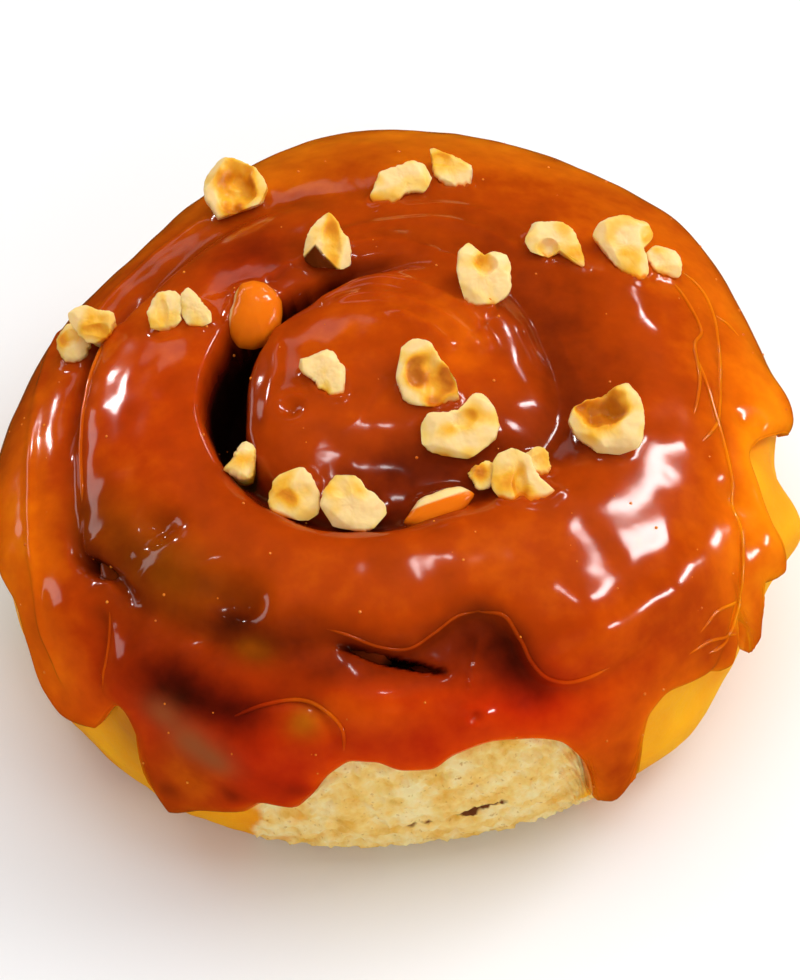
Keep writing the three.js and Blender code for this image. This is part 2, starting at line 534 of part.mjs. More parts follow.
// A closed solid from two skins of rings that share their last ring, each given from its middle
// outwards: the upper one faces up and out, the lower one down and in.
function twoSkinSolid(upper, lower) {
  const points = [];
  const triangles = [];
  const number = (rings) => rings.map((ring) => ring.map((p) => points.push(p) - 1));
  const above = number(upper);
  const below = number(lower);
  for (let i = 1; i < above.length; i++) triangles.push(...bandTriangles(above[i - 1], above[i]));
  below.push(above[above.length - 1]);
  for (let i = 1; i < below.length; i++) {
    for (const [a, b, c] of bandTriangles(below[i - 1], below[i])) triangles.push([a, c, b]);
  }
  return solidFrom(points, triangles.flat());
}

// ---------------------------------------------------------------- solids and meshes

function solidFrom(points, triangles) {
  const corners = new Float32Array(points.length * 3);
  points.forEach((p, i) => corners.set([p.x, p.y, p.z], i * 3));
  return new wasm.Manifold(
    new wasm.Mesh({
      numProp: 3,
      vertProperties: corners,
      triVerts: new Uint32Array(triangles),
    }),
  );
}

function solidOfGeometry(source) {
  const bare = source.clone();
  bare.deleteAttribute("normal");
  bare.deleteAttribute("uv");
  const merged = mergeVertices(bare);
  return new wasm.Manifold(
    new wasm.Mesh({
      numProp: 3,
      vertProperties: new Float32Array(merged.attributes.position.array),
      triVerts: new Uint32Array(merged.index.array),
    }),
  );
}

function geometryOfSolid(solid) {
  const { vertProperties, triVerts } = solid.getMesh();
  const geometry = new THREE.BufferGeometry();
  geometry.setAttribute("position", new THREE.BufferAttribute(vertProperties, 3));
  geometry.setIndex(new THREE.BufferAttribute(triVerts, 1));
  const flat = geometry.toNonIndexed();
  flat.computeVertexNormals();
  return flat;
}

function namedMesh(name, solid, material) {
  const mesh = new THREE.Mesh(geometryOfSolid(solid), material);
  mesh.name = name;
  return mesh;
}

// ---------------------------------------------------------------- the dough

function makeBun() {
  const place = ({ azimuth, reach }) => bodyPoint(azimuth, reach, doughOut(azimuth, reach));
  const top = bodyPoint(0, 0, doughOut(0, 0));
  const side = [...coveredRings, ...bareRings].map((ring) => ring.map(place));
  const footEdge = side[side.length - 1];
  const under = FOOT_RINGS.map((share) => {
    const count = Math.round(footEdge.length * share);
    return Array.from({ length: count }, (_, i) => {
      const corner = footEdge[Math.round((i * footEdge.length) / count) % footEdge.length];
      return new THREE.Vector3(corner.x * share, corner.y * share, 0);
    });
  });
  return twoSkinSolid([[top], ...side], [[new THREE.Vector3(0, 0, 0)], ...under]);
}

// ---------------------------------------------------------------- the caramel

const innerOut = (azimuth, reach) => doughOut(azimuth, reach) + SEAT_GAP;
const outerOut = (azimuth, reach) =>
  innerOut(azimuth, reach) + caramelThickness(azimuth, reach);

function makeCaramel() {
  const onOuter = ({ azimuth, reach }) => bodyPoint(azimuth, reach, outerOut(azimuth, reach));
  const onInner = ({ azimuth, reach }) => bodyPoint(azimuth, reach, innerOut(azimuth, reach));
  const outer = coveredRings.map((ring) => ring.map(onOuter));
  const inner = coveredRings.map((ring) => ring.map(onInner));
  const outerTop = bodyPoint(0, 0, outerOut(0, 0));
  const innerTop = bodyPoint(0, 0, innerOut(0, 0));
  return twoSkinSolid([[outerTop], ...outer, inner.at(-1)], [[innerTop], ...inner.slice(0, -1)]);
}

// The roll as one block with the caramel's outer face, a seat gap larger: nuts are cut to sit on it.
function makeSeat() {
  const place = ({ azimuth, reach }) =>
    bodyPoint(azimuth, reach, outerOut(azimuth, reach) + SEAT_GAP);
  const rings = coveredRings.map((ring) => ring.map(place));
  const top = bodyPoint(0, 0, outerOut(0, 0) + SEAT_GAP);
  const floor = rings.at(-1).map((p) => new THREE.Vector3(p.x, p.y, -1));
  return twoSkinSolid([[top], ...rings, floor], [[new THREE.Vector3(0, 0, -1)]]);
}

// ---------------------------------------------------------------- the nuts

// A shard of kernel lying in its own XY plane: an uneven outline, a broken face with a hollow, and a
// smaller back. back is 0 at its middle plane and 1 at its back.
function nutSkins({ outline, thick, edge = BROKEN_EDGE, scoop }) {
  const hollow = (x, y) => {
    if (!scoop) return 0;
    const [middleX, middleY, long, wide, turn, deep] = scoop;
    const [c, s] = [Math.cos(rad(turn)), Math.sin(rad(turn))];
    const u = ((x - middleX) * c + (y - middleY) * s) / long;
    const v = ((y - middleY) * c - (x - middleX) * s) / wide;
    return deep * clamp(1 - u * u - v * v, 0, 1) ** 0.8;
  };
  const faceHeight = (share) => ((1 - share ** (2 / edge)) ** (edge / 2) * thick) / 2;
  const ring = (share, heightOf, back) =>
    outline.map((r, i) => {
      const angle = (2 * Math.PI * i) / outline.length;
      const [x, y] = [r * share * Math.cos(angle), r * share * Math.sin(angle)];
      return Object.assign(new THREE.Vector3(x, y, heightOf(x, y)), { back });
    });
  const upper = [
    [Object.assign(new THREE.Vector3(0, 0, thick / 2 - hollow(0, 0)), { back: 0 })],
    ...NUT_RINGS.map((share) => ring(share, (x, y) => faceHeight(share) - hollow(x, y), 0)),
    ring(1, () => 0, 0),
  ];
  const middle = Object.assign(new THREE.Vector3(0, 0, -thick / 2), { back: 1 });
  return { upper, lower: [[middle], ring(NUT_BACK, () => -thick / 2, 1)] };
}

// A nut in its place, its back drawn down into the caramel so that it stands on all sides.
function nutSolid(nut) {
  const [azimuth, reach, level] = nut.place;
  const middle = bodyPoint(azimuth, reach, level);
  const skinOut = bodyPoint(azimuth, reach, level + 1).sub(middle);
  const out = skinOut.clone().lerp(FRONT_UP, nut.facing).normalize();
  const across = new THREE.Vector3(1, 0, 0).addScaledVector(out, -out.x).normalize();
  const up = new THREE.Vector3().crossVectors(out, across);
  const floorLevel = outerOut(azimuth, reach) - NUT_SUNK;
  const stand = (p) => {
    const placed = new THREE.Vector3()
      .addScaledVector(across, p.x)
      .addScaledVector(up, p.y)
      .addScaledVector(out, p.z);
    const drop = clamp(placed.dot(skinOut) + level - floorLevel, 0, NUT_DEEPEST);
    return placed.addScaledVector(skinOut, -p.back * drop).add(middle);
  };
  const { upper, lower } = nutSkins(nut);
  return twoSkinSolid(upper.map((ring) => ring.map(stand)), lower.map((ring) => ring.map(stand)));
}

const largestPart = (solid) =>
  solid.decompose().reduce((best, part) => (part.volume() > best.volume() ? part : best));

const makeNut = (nut, taken) => largestPart(nutSolid(nut).subtract(taken));

// A block a seat gap larger all round than a solid, about its middle: the next nut is cut by it.
function grown(solid) {
  const geometry = geometryOfSolid(solid);
  geometry.computeBoundingBox();
  const middle = geometry.boundingBox.getCenter(new THREE.Vector3());
  const size = geometry.boundingBox.getSize(new THREE.Vector3());
  const grow = 1 + (2 * SEAT_GAP) / Math.min(size.x, size.y, size.z);
  geometry.translate(-middle.x, -middle.y, -middle.z);
  geometry.scale(grow, grow, grow);
  geometry.translate(middle.x, middle.y, middle.z);
  return solidOfGeometry(geometry);
}

// ---------------------------------------------------------------- the roll

const doughFinish = new THREE.MeshStandardMaterial({ color: 0xe0b35c, roughness: 0.8 });
const caramelFinish = new THREE.MeshStandardMaterial({ color: 0xb74a08, roughness: 0.15 });
const nutFinish = new THREE.MeshStandardMaterial({ color: 0xf0c878, roughness: 0.6 });

const roll = new THREE.Group();
roll.add(namedMesh("bun", makeBun(), doughFinish));
roll.add(namedMesh("caramel", makeCaramel(), caramelFinish));

let taken = makeSeat();
NUTS.forEach((nut, i) => {
  const solid = makeNut(nut, taken);
  const name = "nut_" + String(i + 1).padStart(2, "0");
  roll.add(namedMesh(name, solid, nutFinish));
  taken = taken.add(grown(solid));
});

export default roll;
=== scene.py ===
# %% [markdown]
# # A cinnamon roll under poured caramel
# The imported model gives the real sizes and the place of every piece: the dough, the caramel over it
# and each bit of broken hazelnut. This notebook rebuilds those pieces at the fineness a photograph
# needs, and gives each one its finish. Nothing is moved or resized.

# %% Frame
import math

import bpy
import numpy as np
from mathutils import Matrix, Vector, noise
from mathutils.bvhtree import BVHTree


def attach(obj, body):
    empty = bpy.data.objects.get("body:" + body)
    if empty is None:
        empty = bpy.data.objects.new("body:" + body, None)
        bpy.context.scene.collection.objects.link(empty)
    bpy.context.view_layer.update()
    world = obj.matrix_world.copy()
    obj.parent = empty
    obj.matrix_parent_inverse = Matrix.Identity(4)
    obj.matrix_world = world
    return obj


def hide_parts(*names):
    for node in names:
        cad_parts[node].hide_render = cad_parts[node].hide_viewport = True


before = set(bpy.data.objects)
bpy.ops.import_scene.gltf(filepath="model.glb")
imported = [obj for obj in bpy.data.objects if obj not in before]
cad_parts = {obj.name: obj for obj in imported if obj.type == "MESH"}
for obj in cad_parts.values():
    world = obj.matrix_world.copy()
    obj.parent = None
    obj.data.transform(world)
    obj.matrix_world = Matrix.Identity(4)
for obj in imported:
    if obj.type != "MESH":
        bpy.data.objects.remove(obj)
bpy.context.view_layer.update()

MM = 0.001
print("pieces in the frame:", len(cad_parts))

# %% [markdown]
# ## The body that everything is laid out on
# A coiled bun is close to a squat drum with a boxy shoulder. Its profile could be drawn by hand, but
# a superellipse needs three sizes only, so the dough, the caramel and the nuts can all be worked out
# from it. A place on the roll is an azimuth (0 is +X, 90 the back, 270 the front) and a reach, the
# distance along the skin from the middle of the top. Lengths here are millimetres until a mesh is made.

# %% Body sizes
ROLL_RADIUS = 55.5
ROLL_HEIGHT = 47.0
WIDEST_LEVEL = 15.0
FOOT_RADIUS = 51.5
FOOT_ROUNDING = 5.0
FOOT_TUCK = 0.8  # share of the rounding that the radius gives up at the very foot
SHOULDER_POWER = 2.8
SPIRAL_MIDDLE = (-1.0, -5.8)
OUTLINE_WAVES = [(2, 2.2, 60), (3, 1.3, -32)]  # count, height, azimuth
CARAMEL = 2.0  # its usual depth
SEAT_GAP = 0.3  # between the dough and the caramel


def profile_lines(steps=600):
    """Reach, radius and height of the body's profile, and the reach of its widest level."""
    angle = np.linspace(0, math.pi / 2, steps + 1)
    power = 2 / SHOULDER_POWER
    upper_r = ROLL_RADIUS * np.sin(angle) ** power
    upper_z = WIDEST_LEVEL + (ROLL_HEIGHT - WIDEST_LEVEL) * np.maximum(0, np.cos(angle)) ** power
    share = np.linspace(0, 1, steps + 1)[1:]
    lower_z = WIDEST_LEVEL * (1 - share)
    sunk = np.clip((FOOT_ROUNDING - lower_z) / FOOT_ROUNDING, 0, 1)
    tuck = FOOT_TUCK * FOOT_ROUNDING * (1 - np.sqrt(1 - sunk**2))
    lower_r = FOOT_RADIUS + (ROLL_RADIUS - FOOT_RADIUS) * np.cos(share * math.pi / 2) - tuck
    r = np.concatenate([upper_r, lower_r])
    z = np.concatenate([upper_z, lower_z])
    reach = np.concatenate([[0], np.cumsum(np.hypot(np.diff(r), np.diff(z)))])
    return reach, r, z, reach[steps]


PROFILE_REACH, PROFILE_R, PROFILE_Z, WIDEST_REACH = profile_lines()
FOOT_REACH = PROFILE_REACH[-1]
SLOPE_R = np.gradient(PROFILE_R, PROFILE_REACH)
SLOPE_Z = np.gradient(PROFILE_Z, PROFILE_REACH)
print("reach of the widest level and the foot, mm:", round(WIDEST_REACH, 1), round(FOOT_REACH, 1))


def ease(t):
    return t * t * (3 - 2 * t)


def azimuth_gap(a, b):
    """The difference between azimuths in degrees, from -180 to 180."""
    return (np.asarray(a) - b + 180) % 360 - 180


def outline_radius(azimuth):
    waves = sum(h * np.cos(n * np.radians(azimuth - at)) for n, h, at in OUTLINE_WAVES)
    return ROLL_RADIUS + waves


def body_point(azimuth, reach, out=0.0):
    """Points of the body moved out from it, as an array of x, y, z in millimetres."""
    azimuth, reach, out = np.broadcast_arrays(azimuth, reach, out)
    below = reach >= WIDEST_REACH
    out_r = np.where(below, 1.0, -np.interp(reach, PROFILE_REACH, SLOPE_Z))
    out_z = np.where(below, 0.0, np.interp(reach, PROFILE_REACH, SLOPE_R))
    widen = outline_radius(azimuth) / ROLL_RADIUS
    shift = ease(np.clip(1 - reach / WIDEST_REACH, 0, 1))
    r = np.interp(reach, PROFILE_REACH, PROFILE_R) * widen + out_r * out
    z = np.interp(reach, PROFILE_REACH, PROFILE_Z) + out_z * out
    turn = np.radians(azimuth)
    x = r * np.cos(turn) + SPIRAL_MIDDLE[0] * shift
    y = r * np.sin(turn) + SPIRAL_MIDDLE[1] * shift
    return np.stack([x, y, z], -1)


# %% [markdown]
# ## Seams, lumps and hollows
# A cinnamon roll is a strip of dough wound up, and each turn bulges between the seams. Sculpting
# would give that once; here every seam is a smooth line over the skin spread out flat, with a depth
# and the width of its two banks at each station, so it can be tuned against the photograph. Where two
# turns have parted, the seam also opens into a gap with steep walls.

# %% Seams
# A station is azimuth, reach, depth, inner bank, outer bank, gap depth, gap half width.
SEAMS = {
    "first_turn": [
        (52, 20.6, 0.0, 2.4, 2.6, 0, 1.2),
        (72, 20.3, 1.2, 2.6, 2.8, 0, 1.2),
        (100, 20.2, 2.6, 2.6, 2.8, 1.5, 1.2),
        (116, 19.8, 3.2, 2.6, 2.6, 5.0, 1.1),
        (132, 20.4, 3.4, 2.8, 2.6, 6.5, 1.3),
        (146, 21.6, 3.4, 3.0, 2.4, 9.0, 1.8),
        (162, 22.4, 3.6, 3.2, 2.2, 14.0, 2.3),
        (190, 22.3, 3.8, 3.4, 2.2, 15.0, 2.4),
        (206, 22.6, 4.0, 3.6, 2.2, 9.0, 1.9),
        (214, 22.9, 4.2, 4.0, 2.2, 4.0, 1.8),
        (224, 23.3, 4.4, 4.4, 2.4, 1.5, 1.8),
        (240, 23.8, 4.6, 5.2, 2.2, 1.0, 1.8),
        (256, 23.6, 4.6, 5.8, 2.2, 1.0, 1.8),
        (272, 22.8, 4.6, 6.2, 2.2, 1.0, 1.8),
        (290, 21.8, 4.4, 6.2, 2.4, 0.5, 1.8),
        (312, 22.4, 4.2, 5.2, 3.4, 0, 1.8),
        (332, 23.9, 3.8, 4.6, 4.2, 0, 1.8),
        (350, 23.8, 3.6, 3.6, 4.8, 0, 1.8),
        (372, 22.4, 3.4, 3.2, 5.0, 0, 1.8),
        (396, 22.6, 3.0, 3.2, 4.8, 0, 1.8),
        (420, 24.0, 2.2, 3.4, 4.4, 0, 1.8),
        (446, 27.0, 1.5, 3.4, 4.0, 0, 1.8),
        (475, 29.0, 0.8, 3.4, 3.6, 0, 1.8),
        (495, 30.0, 0.0, 3.4, 3.4, 0, 1.8),
    ],
    "second_turn": [
        (48, 34.0, 0.0, 4.0, 4.0, 0, 1.2),
        (68, 31.8, 1.0, 4.0, 4.0, 0, 1.2),
        (90, 33.0, 1.6, 4.0, 4.0, 0, 1.2),
        (108, 37.0, 2.2, 3.4, 4.0, 0, 1.2),
        (125, 40.2, 2.8, 2.6, 3.6, 0, 1.2),
        (144, 41.6, 3.2, 2.0, 3.2, 0, 1.2),
        (160, 43.8, 3.2, 1.8, 2.8, 1.0, 1.0),
        (170, 45.0, 3.4, 1.4, 2.6, 2.2, 1.0),
        (180, 44.6, 3.2, 1.4, 2.8, 1.2, 1.0),
        (195, 44.6, 2.6, 1.8, 3.0, 0, 1.0),
        (206, 46.4, 2.2, 2.4, 3.2, 0, 1.0),
        (212, 48.6, 2.2, 2.4, 2.6, 1.4, 0.9),
        (216, 47.6, 2.4, 2.4, 2.4, 4.0, 1.0),
        (220, 46.4, 2.4, 2.8, 2.6, 1.6, 0.9),
        (228, 46.8, 2.0, 3.2, 4.0, 0, 1.0),
        (240, 46.4, 2.0, 3.2, 4.2, 0, 1.0),
        (252, 44.0, 2.2, 2.6, 4.0, 0, 0.6),
        (262, 42.9, 2.4, 1.2, 3.4, 0, 0.6),
        (268, 44.2, 2.6, 1.1, 3.4, 0, 0.6),
        (273, 44.6, 2.8, 1.1, 3.6, 0, 0.6),
        (277, 43.0, 3.2, 1.1, 4.2, 0, 0.6),
        (282, 40.9, 3.4, 1.2, 4.6, 0, 0.6),
        (286.5, 40.6, 3.4, 1.2, 4.2, 0, 0.6),
        (289.5, 43.6, 3.4, 1.0, 3.4, 0, 0.6),
        (290.3, 48.6, 3.2, 1.0, 3.2, 0, 0.6),
        (292, 52.6, 2.8, 1.1, 3.2, 0, 0.6),
        (296.5, 55.0, 2.2, 1.3, 3.2, 0, 0.6),
        (303, 55.4, 1.5, 1.6, 3.2, 0, 0.6),
        (311, 54.0, 0.8, 1.8, 3.0, 0, 0.6),
        (319, 51.6, 0.0, 2.0, 3.0, 0, 0.6),
    ],
    "slit": [
        (260, 43.0, 0.0, 0.8, 1.2, 0, 0.4),
        (263, 43.5, 0.5, 0.8, 1.2, 3.0, 0.5),
        (268, 44.9, 0.8, 0.8, 1.4, 5.0, 0.65),
        (273, 46.2, 0.8, 0.8, 1.4, 5.0, 0.6),
        (276.5, 47.3, 0.5, 0.8, 1.4, 2.5, 0.45),
        (279, 47.9, 0.0, 0.8, 1.2, 0, 0.4),
    ],
}
CREASES = {  # the same, but no gap opens in these
    "left_crease": [
        (221, 50.6, 0.0, 0.7, 1.4),
        (224, 52.6, 1.4, 0.7, 1.6),
        (226, 55.6, 1.6, 0.7, 1.6),
        (226.5, 58.6, 1.2, 0.7, 1.6),
        (229, 61.4, 0.0, 0.7, 1.4),
    ],
    "lower_fold": [
        (246, 56.0, 0.0, 1.8, 0.7),
        (250, 53.4, 0.8, 1.8, 0.7),
        (254, 52.0, 1.2, 2.0, 0.7),
        (258, 52.2, 1.5, 2.2, 0.7),
        (260.6, 54.4, 1.5, 2.2, 0.7),
        (261.6, 57.6, 1.0, 2.0, 0.7),
        (260.6, 60.6, 0.0, 1.8, 0.7),
    ],
    "right_fold": [
        (-45, 69.0, 0.0, 0.9, 2.0),
        (-38, 65.1, 0.8, 0.9, 2.2),
        (-31, 59.8, 1.3, 0.9, 2.4),
        (-24, 54.4, 1.5, 0.9, 2.6),
        (-15, 49.4, 1.4, 0.9, 2.6),
        (-6, 46.6, 1.2, 0.9, 2.6),
        (4, 46.6, 1.2, 0.9, 2.6),
        (14, 48.4, 1.0, 0.9, 2.6),
        (26, 51.0, 0.0, 0.9, 2.6),
    ],
}
SEAM_STEP = 0.3
BLOCK = 4000  # points worked out at a time, to save memory
VALLEY_BOTTOM = 0.16  # 0 is a sharp crease, more is rounder
NO_GAP = 0.5  # the half width that stands for a gap of no depth


def flat_point(azimuth, reach):
    """A place on the skin spread out flat round the middle of the top."""
    turn = np.radians(azimuth)
    return np.stack([reach * np.cos(turn), reach * np.sin(turn)], -1)


def smooth_line(stations):
    """Points every SEAM_STEP along a smooth line through stations, with their other values."""
    values = np.array(stations, float)
    values = np.concatenate([values[:1], values, values[-1:]])
    pieces = []
    for i in range(1, len(values) - 2):
        before, a, b, after = values[i - 1 : i + 3]
        length = np.hypot(*(flat_point(a[0], a[1]) - flat_point(b[0], b[1])))
        t = np.linspace(0, 1, max(2, int(length / SEAM_STEP)), endpoint=False)[:, None]
        curve = 0.5 * (
            2 * a
            + (b - before) * t
            + (2 * before - 5 * a + 4 * b - after) * t**2
            + (3 * a - before - 3 * b + after) * t**3
        )
        curve[:, 2:] = a[2:] + (b[2:] - a[2:]) * ease(t)
        pieces.append(curve)
    line = np.concatenate(pieces)
    return flat_point(line[:, 0], line[:, 1]), line[:, 2:]


SEAM_LINES = {name: smooth_line(stations) for name, stations in SEAMS.items()}
for name, stations in CREASES.items():
    SEAM_LINES[name] = smooth_line([(*station, 0.0, NO_GAP) for station in stations])
print("points along each seam:", {name: len(line[0]) for name, line in SEAM_LINES.items()})


def nearest_on_line(points, line):
    """For flat points: the nearest point of a line, how far it is, and how far across, + outwards."""
    index = np.empty(len(points), int)
    for start in range(0, len(points), BLOCK):
        part = points[start : start + BLOCK, None, :] - line[None]
        index[start : start + BLOCK] = np.argmin((part**2).sum(-1), 1)
    off = points - line[index]
    tangent = np.gradient(line, axis=0)
    tangent /= np.hypot(tangent[:, 0], tangent[:, 1])[:, None]
    across = off[:, 0] * tangent[index, 1] - off[:, 1] * tangent[index, 0]
    along = off[:, 0] * tangent[index, 0] + off[:, 1] * tangent[index, 1]
    beyond = np.abs(along) > 2 * SEAM_STEP
    distance = np.where(beyond, np.hypot(off[:, 0], off[:, 1]), np.abs(across))
    return index, distance, across


def seam_relief(azimuth, reach):
    """How far the seams sink the dough, and how much of that is an open gap."""
    points = flat_point(azimuth, reach)
    valley = np.zeros(len(points))
    gap = np.zeros(len(points))
    for line, values in SEAM_LINES.values():
        index, distance, across = nearest_on_line(points, line)
        depth, inner, outer, gap_depth, gap_half = values[index].T
        x = distance / np.where(across < 0, inner, outer)
        valley += depth * np.exp(math.sqrt(VALLEY_BOTTOM) - np.sqrt(x**2 + VALLEY_BOTTOM))
        gap += gap_depth * np.exp(-((distance / gap_half) ** 4))
    return valley, gap


# %% [markdown]
# Between the seams the dough is uneven: it swelled in the oven here and sank there. Each lump or
# hollow is one soft bump with a place, a height and two half widths, round the roll and along it.

# %% Lumps
# azimuth, reach, height, half width round the roll, half width along the reach
LUMPS = [
    (75, 5.0, 0.9, 8.0, 7.0),
    (268, 14.0, -1.4, 9.0, 5.0),
    (203, 13.5, 0.9, 2.8, 2.8),
    (203, 13.5, -1.7, 1.4, 1.4),
    (219, 37.2, -1.9, 2.6, 2.4),
    (229, 39.5, 1.5, 5.0, 4.5),
    (241, 40.0, -2.8, 3.2, 2.6),
    (239, 46.0, -1.2, 3.0, 2.2),
    (249, 41.0, 1.2, 3.0, 4.0),
    (231, 55.0, 1.6, 3.6, 6.0),
    (217, 56.0, 1.0, 4.0, 5.0),
    (250, 61.0, 0.9, 6.0, 4.5),
    (268, 51.5, 1.9, 7.0, 3.8),
    (284, 46.6, -1.3, 3.0, 4.0),
    (281.5, 54.5, 0.9, 2.0, 1.8),
    (281.5, 54.5, -1.1, 0.9, 0.9),
    (303, 47.5, 2.3, 6.5, 6.0),
    (318, 48.0, 1.6, 8.0, 6.5),
    (347, 66.0, 4.2, 6.5, 6.5),
    (316, 80.0, 1.5, 14.0, 10.0),
    (338, 62.0, 1.4, 4.0, 7.0),
    (357, 51.5, -1.3, 2.4, 3.2),
    (340, 51.5, -1.0, 2.2, 3.6),
    (5, 60.0, 1.6, 6.0, 6.0),
    (40, 55.0, 1.4, 12.0, 7.0),
    (100, 58.0, 1.2, 14.0, 8.0),
    (140, 60.0, -1.4, 12.0, 9.0),
    (198, 60.0, 1.4, 14.0, 9.0),
    (276, 82.0, -0.6, 21.0, 12.0),
]
print("lumps and hollows:", len(LUMPS))


# %% [markdown]
# ## The caramel's edge
# Poured caramel stops in a wavy line with runs that hang below it, and between the front runs the
# bare dough shows. The line is a smooth curve through a few places, one at each tip and each notch.

# %% Caramel edge
EDGE_REACH = 60.0  # about where the edge lies between its runs
EDGE_STEPS = 8  # in each degree
# azimuth and reach, once round the roll
EDGE = [
    (0, 59.5), (5, 65.5), (10, 61.5), (14, 64.0), (17.5, 71.5), (20, 75.0), (23, 74.2), (25.5, 68.0),
    (28.5, 63.5), (33, 61.6), (38, 63.0), (42, 66.2), (45.5, 66.0), (49, 62.6), (52, 63.2), (54, 69.0),
    (56, 76.0), (58.5, 78.6), (61, 76.5), (62.8, 69.5), (65.5, 64.2), (70, 62.2), (76, 64.0), (80, 66.4),
    (84, 64.4), (88, 63.4), (91.5, 67.0), (93.5, 75.0), (96, 79.6), (99, 78.0), (101, 70.0), (103.5, 65.0),
    (109, 62.4), (114, 65.0), (117, 68.6), (120.5, 67.4), (123.5, 63.6), (127, 65.0), (129.5, 71.5),
    (132, 73.6), (134.5, 70.0), (136.5, 65.0), (139, 66.5), (141, 73.0), (144, 77.8), (147.5, 77.4),
    (150, 71.0), (152.5, 65.5), (157, 63.0), (162, 63.8), (165, 68.2), (168.5, 69.6), (171.5, 66.0),
    (175, 64.6), (178, 68.0), (180, 74.0), (182.5, 75.2), (185, 71.0), (188, 65.5), (196, 67.0),
    (202, 62.5), (208, 62.0), (212, 65.5), (217, 71.0), (221.5, 72.3), (226.5, 70.0), (231, 61.4),
    (234, 65.0), (236, 74.5), (238.5, 80.0), (243.5, 76.0), (249, 73.5), (252.5, 70.0), (256, 70.2),
    (258.5, 67.0), (261, 62.4), (264, 60.2), (267, 60.3), (271, 62.0), (274.5, 62.2), (278, 60.2),
    (283, 59.2), (288, 60.2), (293, 62.5), (296.6, 68.5), (298.5, 78.0), (301.5, 82.3), (304.4, 79.0),
    (305.8, 70.0), (307.6, 65.5), (311, 64.0), (315, 65.2), (319.5, 67.2), (323.5, 69.8), (326.4, 67.5),
    (328, 63.8), (329.2, 70.0), (331, 75.0), (333, 72.0), (334.8, 63.8), (337, 65.0), (339.4, 66.4),
    (342.2, 59.0), (346, 55.2), (351, 52.2), (354.5, 53.8),
]


def edge_curve():
    """A smooth closed curve through EDGE that never overshoots it, at even small steps."""
    places = np.array(EDGE, float)
    at = np.concatenate([places[:, 0] - 360, places[:, 0], places[:, 0] + 360])
    value = np.tile(places[:, 1], 3)
    rise = np.diff(value) / np.diff(at)
    before, after = np.append(0, rise), np.append(rise, 0)
    turning = before * after <= 0
    slope = np.where(turning, 0, 2 * before * after / np.where(turning, 1, before + after))
    azimuth = np.linspace(0, 360, 360 * EDGE_STEPS + 1)
    i = np.searchsorted(at, azimuth, "right") - 1
    width = at[i + 1] - at[i]
    t = (azimuth - at[i]) / width
    bulge = slope[i] * width * t * (1 - t) ** 2 - slope[i + 1] * width * t**2 * (1 - t)
    return azimuth, value[i] + (value[i + 1] - value[i]) * ease(t) + bulge


EDGE_AZIMUTH, EDGE_LINE = edge_curve()


def edge_reach(azimuth):
    return np.interp(np.asarray(azimuth) % 360, EDGE_AZIMUTH, EDGE_LINE)


def edge_distance(azimuth, reach, span=14.0, step=0.3):
    """How far a place is from the caramel's edge along the skin, up to span."""
    sweep = np.degrees(np.arange(-span, span + step, step) / ROLL_RADIUS)
    distance = np.full(np.shape(azimuth), span)
    near = np.nonzero(reach > EDGE_LINE.min() - span)[0]
    for start in range(0, len(near), BLOCK):
        ids = near[start : start + BLOCK]
        around = azimuth[ids, None] + sweep[None]
        down = edge_reach(around) - reach[ids, None]
        side = np.radians(sweep)[None] * ROLL_RADIUS
        distance[ids] = np.sqrt(down**2 + side**2).min(1)
    return np.minimum(distance, span)


print("caramel edge, reach in mm:", round(EDGE_LINE.min(), 1), "to", round(EDGE_LINE.max(), 1))

# %% [markdown]
# ## How thick the caramel lies
# Warm caramel runs off the crests and fills the seams part of the way, swells at the tip of a run,
# and ends in a rounded lip. A few slow waves and fine drag lines break up its surface, because it
# sets before it is quite level.

# %% Caramel
CARAMEL_LIP = 0.8
LIP_ROUNDING = 2.2
POOLING = 0.22  # share of a valley that the caramel fills
GAP_POOLING = 0.04  # the same for an open gap
TIP_SWELL = 0.9
TIP_INWARD = 3.2  # from the edge to the thickest place of a run
TIP_HALF = 2.4
WAVE_HEIGHT = 0.07
# azimuth, reach, height of the waves, half width round the roll, half width along the reach
DENTED = [(228, 43.0, 0.26, 14.0, 8.0), (250, 58.0, 0.12, 10.0, 8.0), (204, 56.0, 0.10, 8.0, 8.0)]


def patches(places, azimuth, reach):
    """The sum of soft round patches, each with an amount and two half widths."""
    total = np.zeros(len(azimuth))
    for at, along, amount, half_round, half_along in places:
        x = np.radians(azimuth_gap(azimuth, at)) * along / half_round
        y = (reach - along) / half_along
        total += amount * np.exp(-(x**2 + y**2))
    return total


def slow_waves(points, length, seed, count=18):
    """A smooth random field, about -1 to 1, with waves of about a length in the points' units."""
    draw = np.random.default_rng(seed)
    field = np.zeros(len(points))
    for _ in range(count):
        heading = draw.normal(size=3)
        heading *= 2 * math.pi / (length * draw.uniform(0.7, 1.5) * np.linalg.norm(heading))
        field += np.sin(points @ heading + draw.uniform(0, 2 * math.pi))
    return field * math.sqrt(2 / count) * 0.6


def skin(azimuth, reach):
    """Heights over the body of the dough and of the caramel's outer face, and the caramel's depth."""
    valley, gap = seam_relief(azimuth, reach)
    dough = patches(LUMPS, azimuth, reach) - valley - gap - CARAMEL
    inward = edge_distance(azimuth, reach)
    lip = np.clip(inward / LIP_ROUNDING, 0, 1)
    rounding = np.sqrt(1 - (1 - lip) ** 2)
    pooled = POOLING * valley + GAP_POOLING * gap
    hanging = np.clip((reach - EDGE_REACH - 3) / 8, 0, 1)
    swell = TIP_SWELL * hanging * np.exp(-(((inward - TIP_INWARD) / TIP_HALF) ** 2))
    thick = CARAMEL_LIP + (CARAMEL + pooled + swell - CARAMEL_LIP) * rounding
    return dough, dough + SEAT_GAP + thick, thick


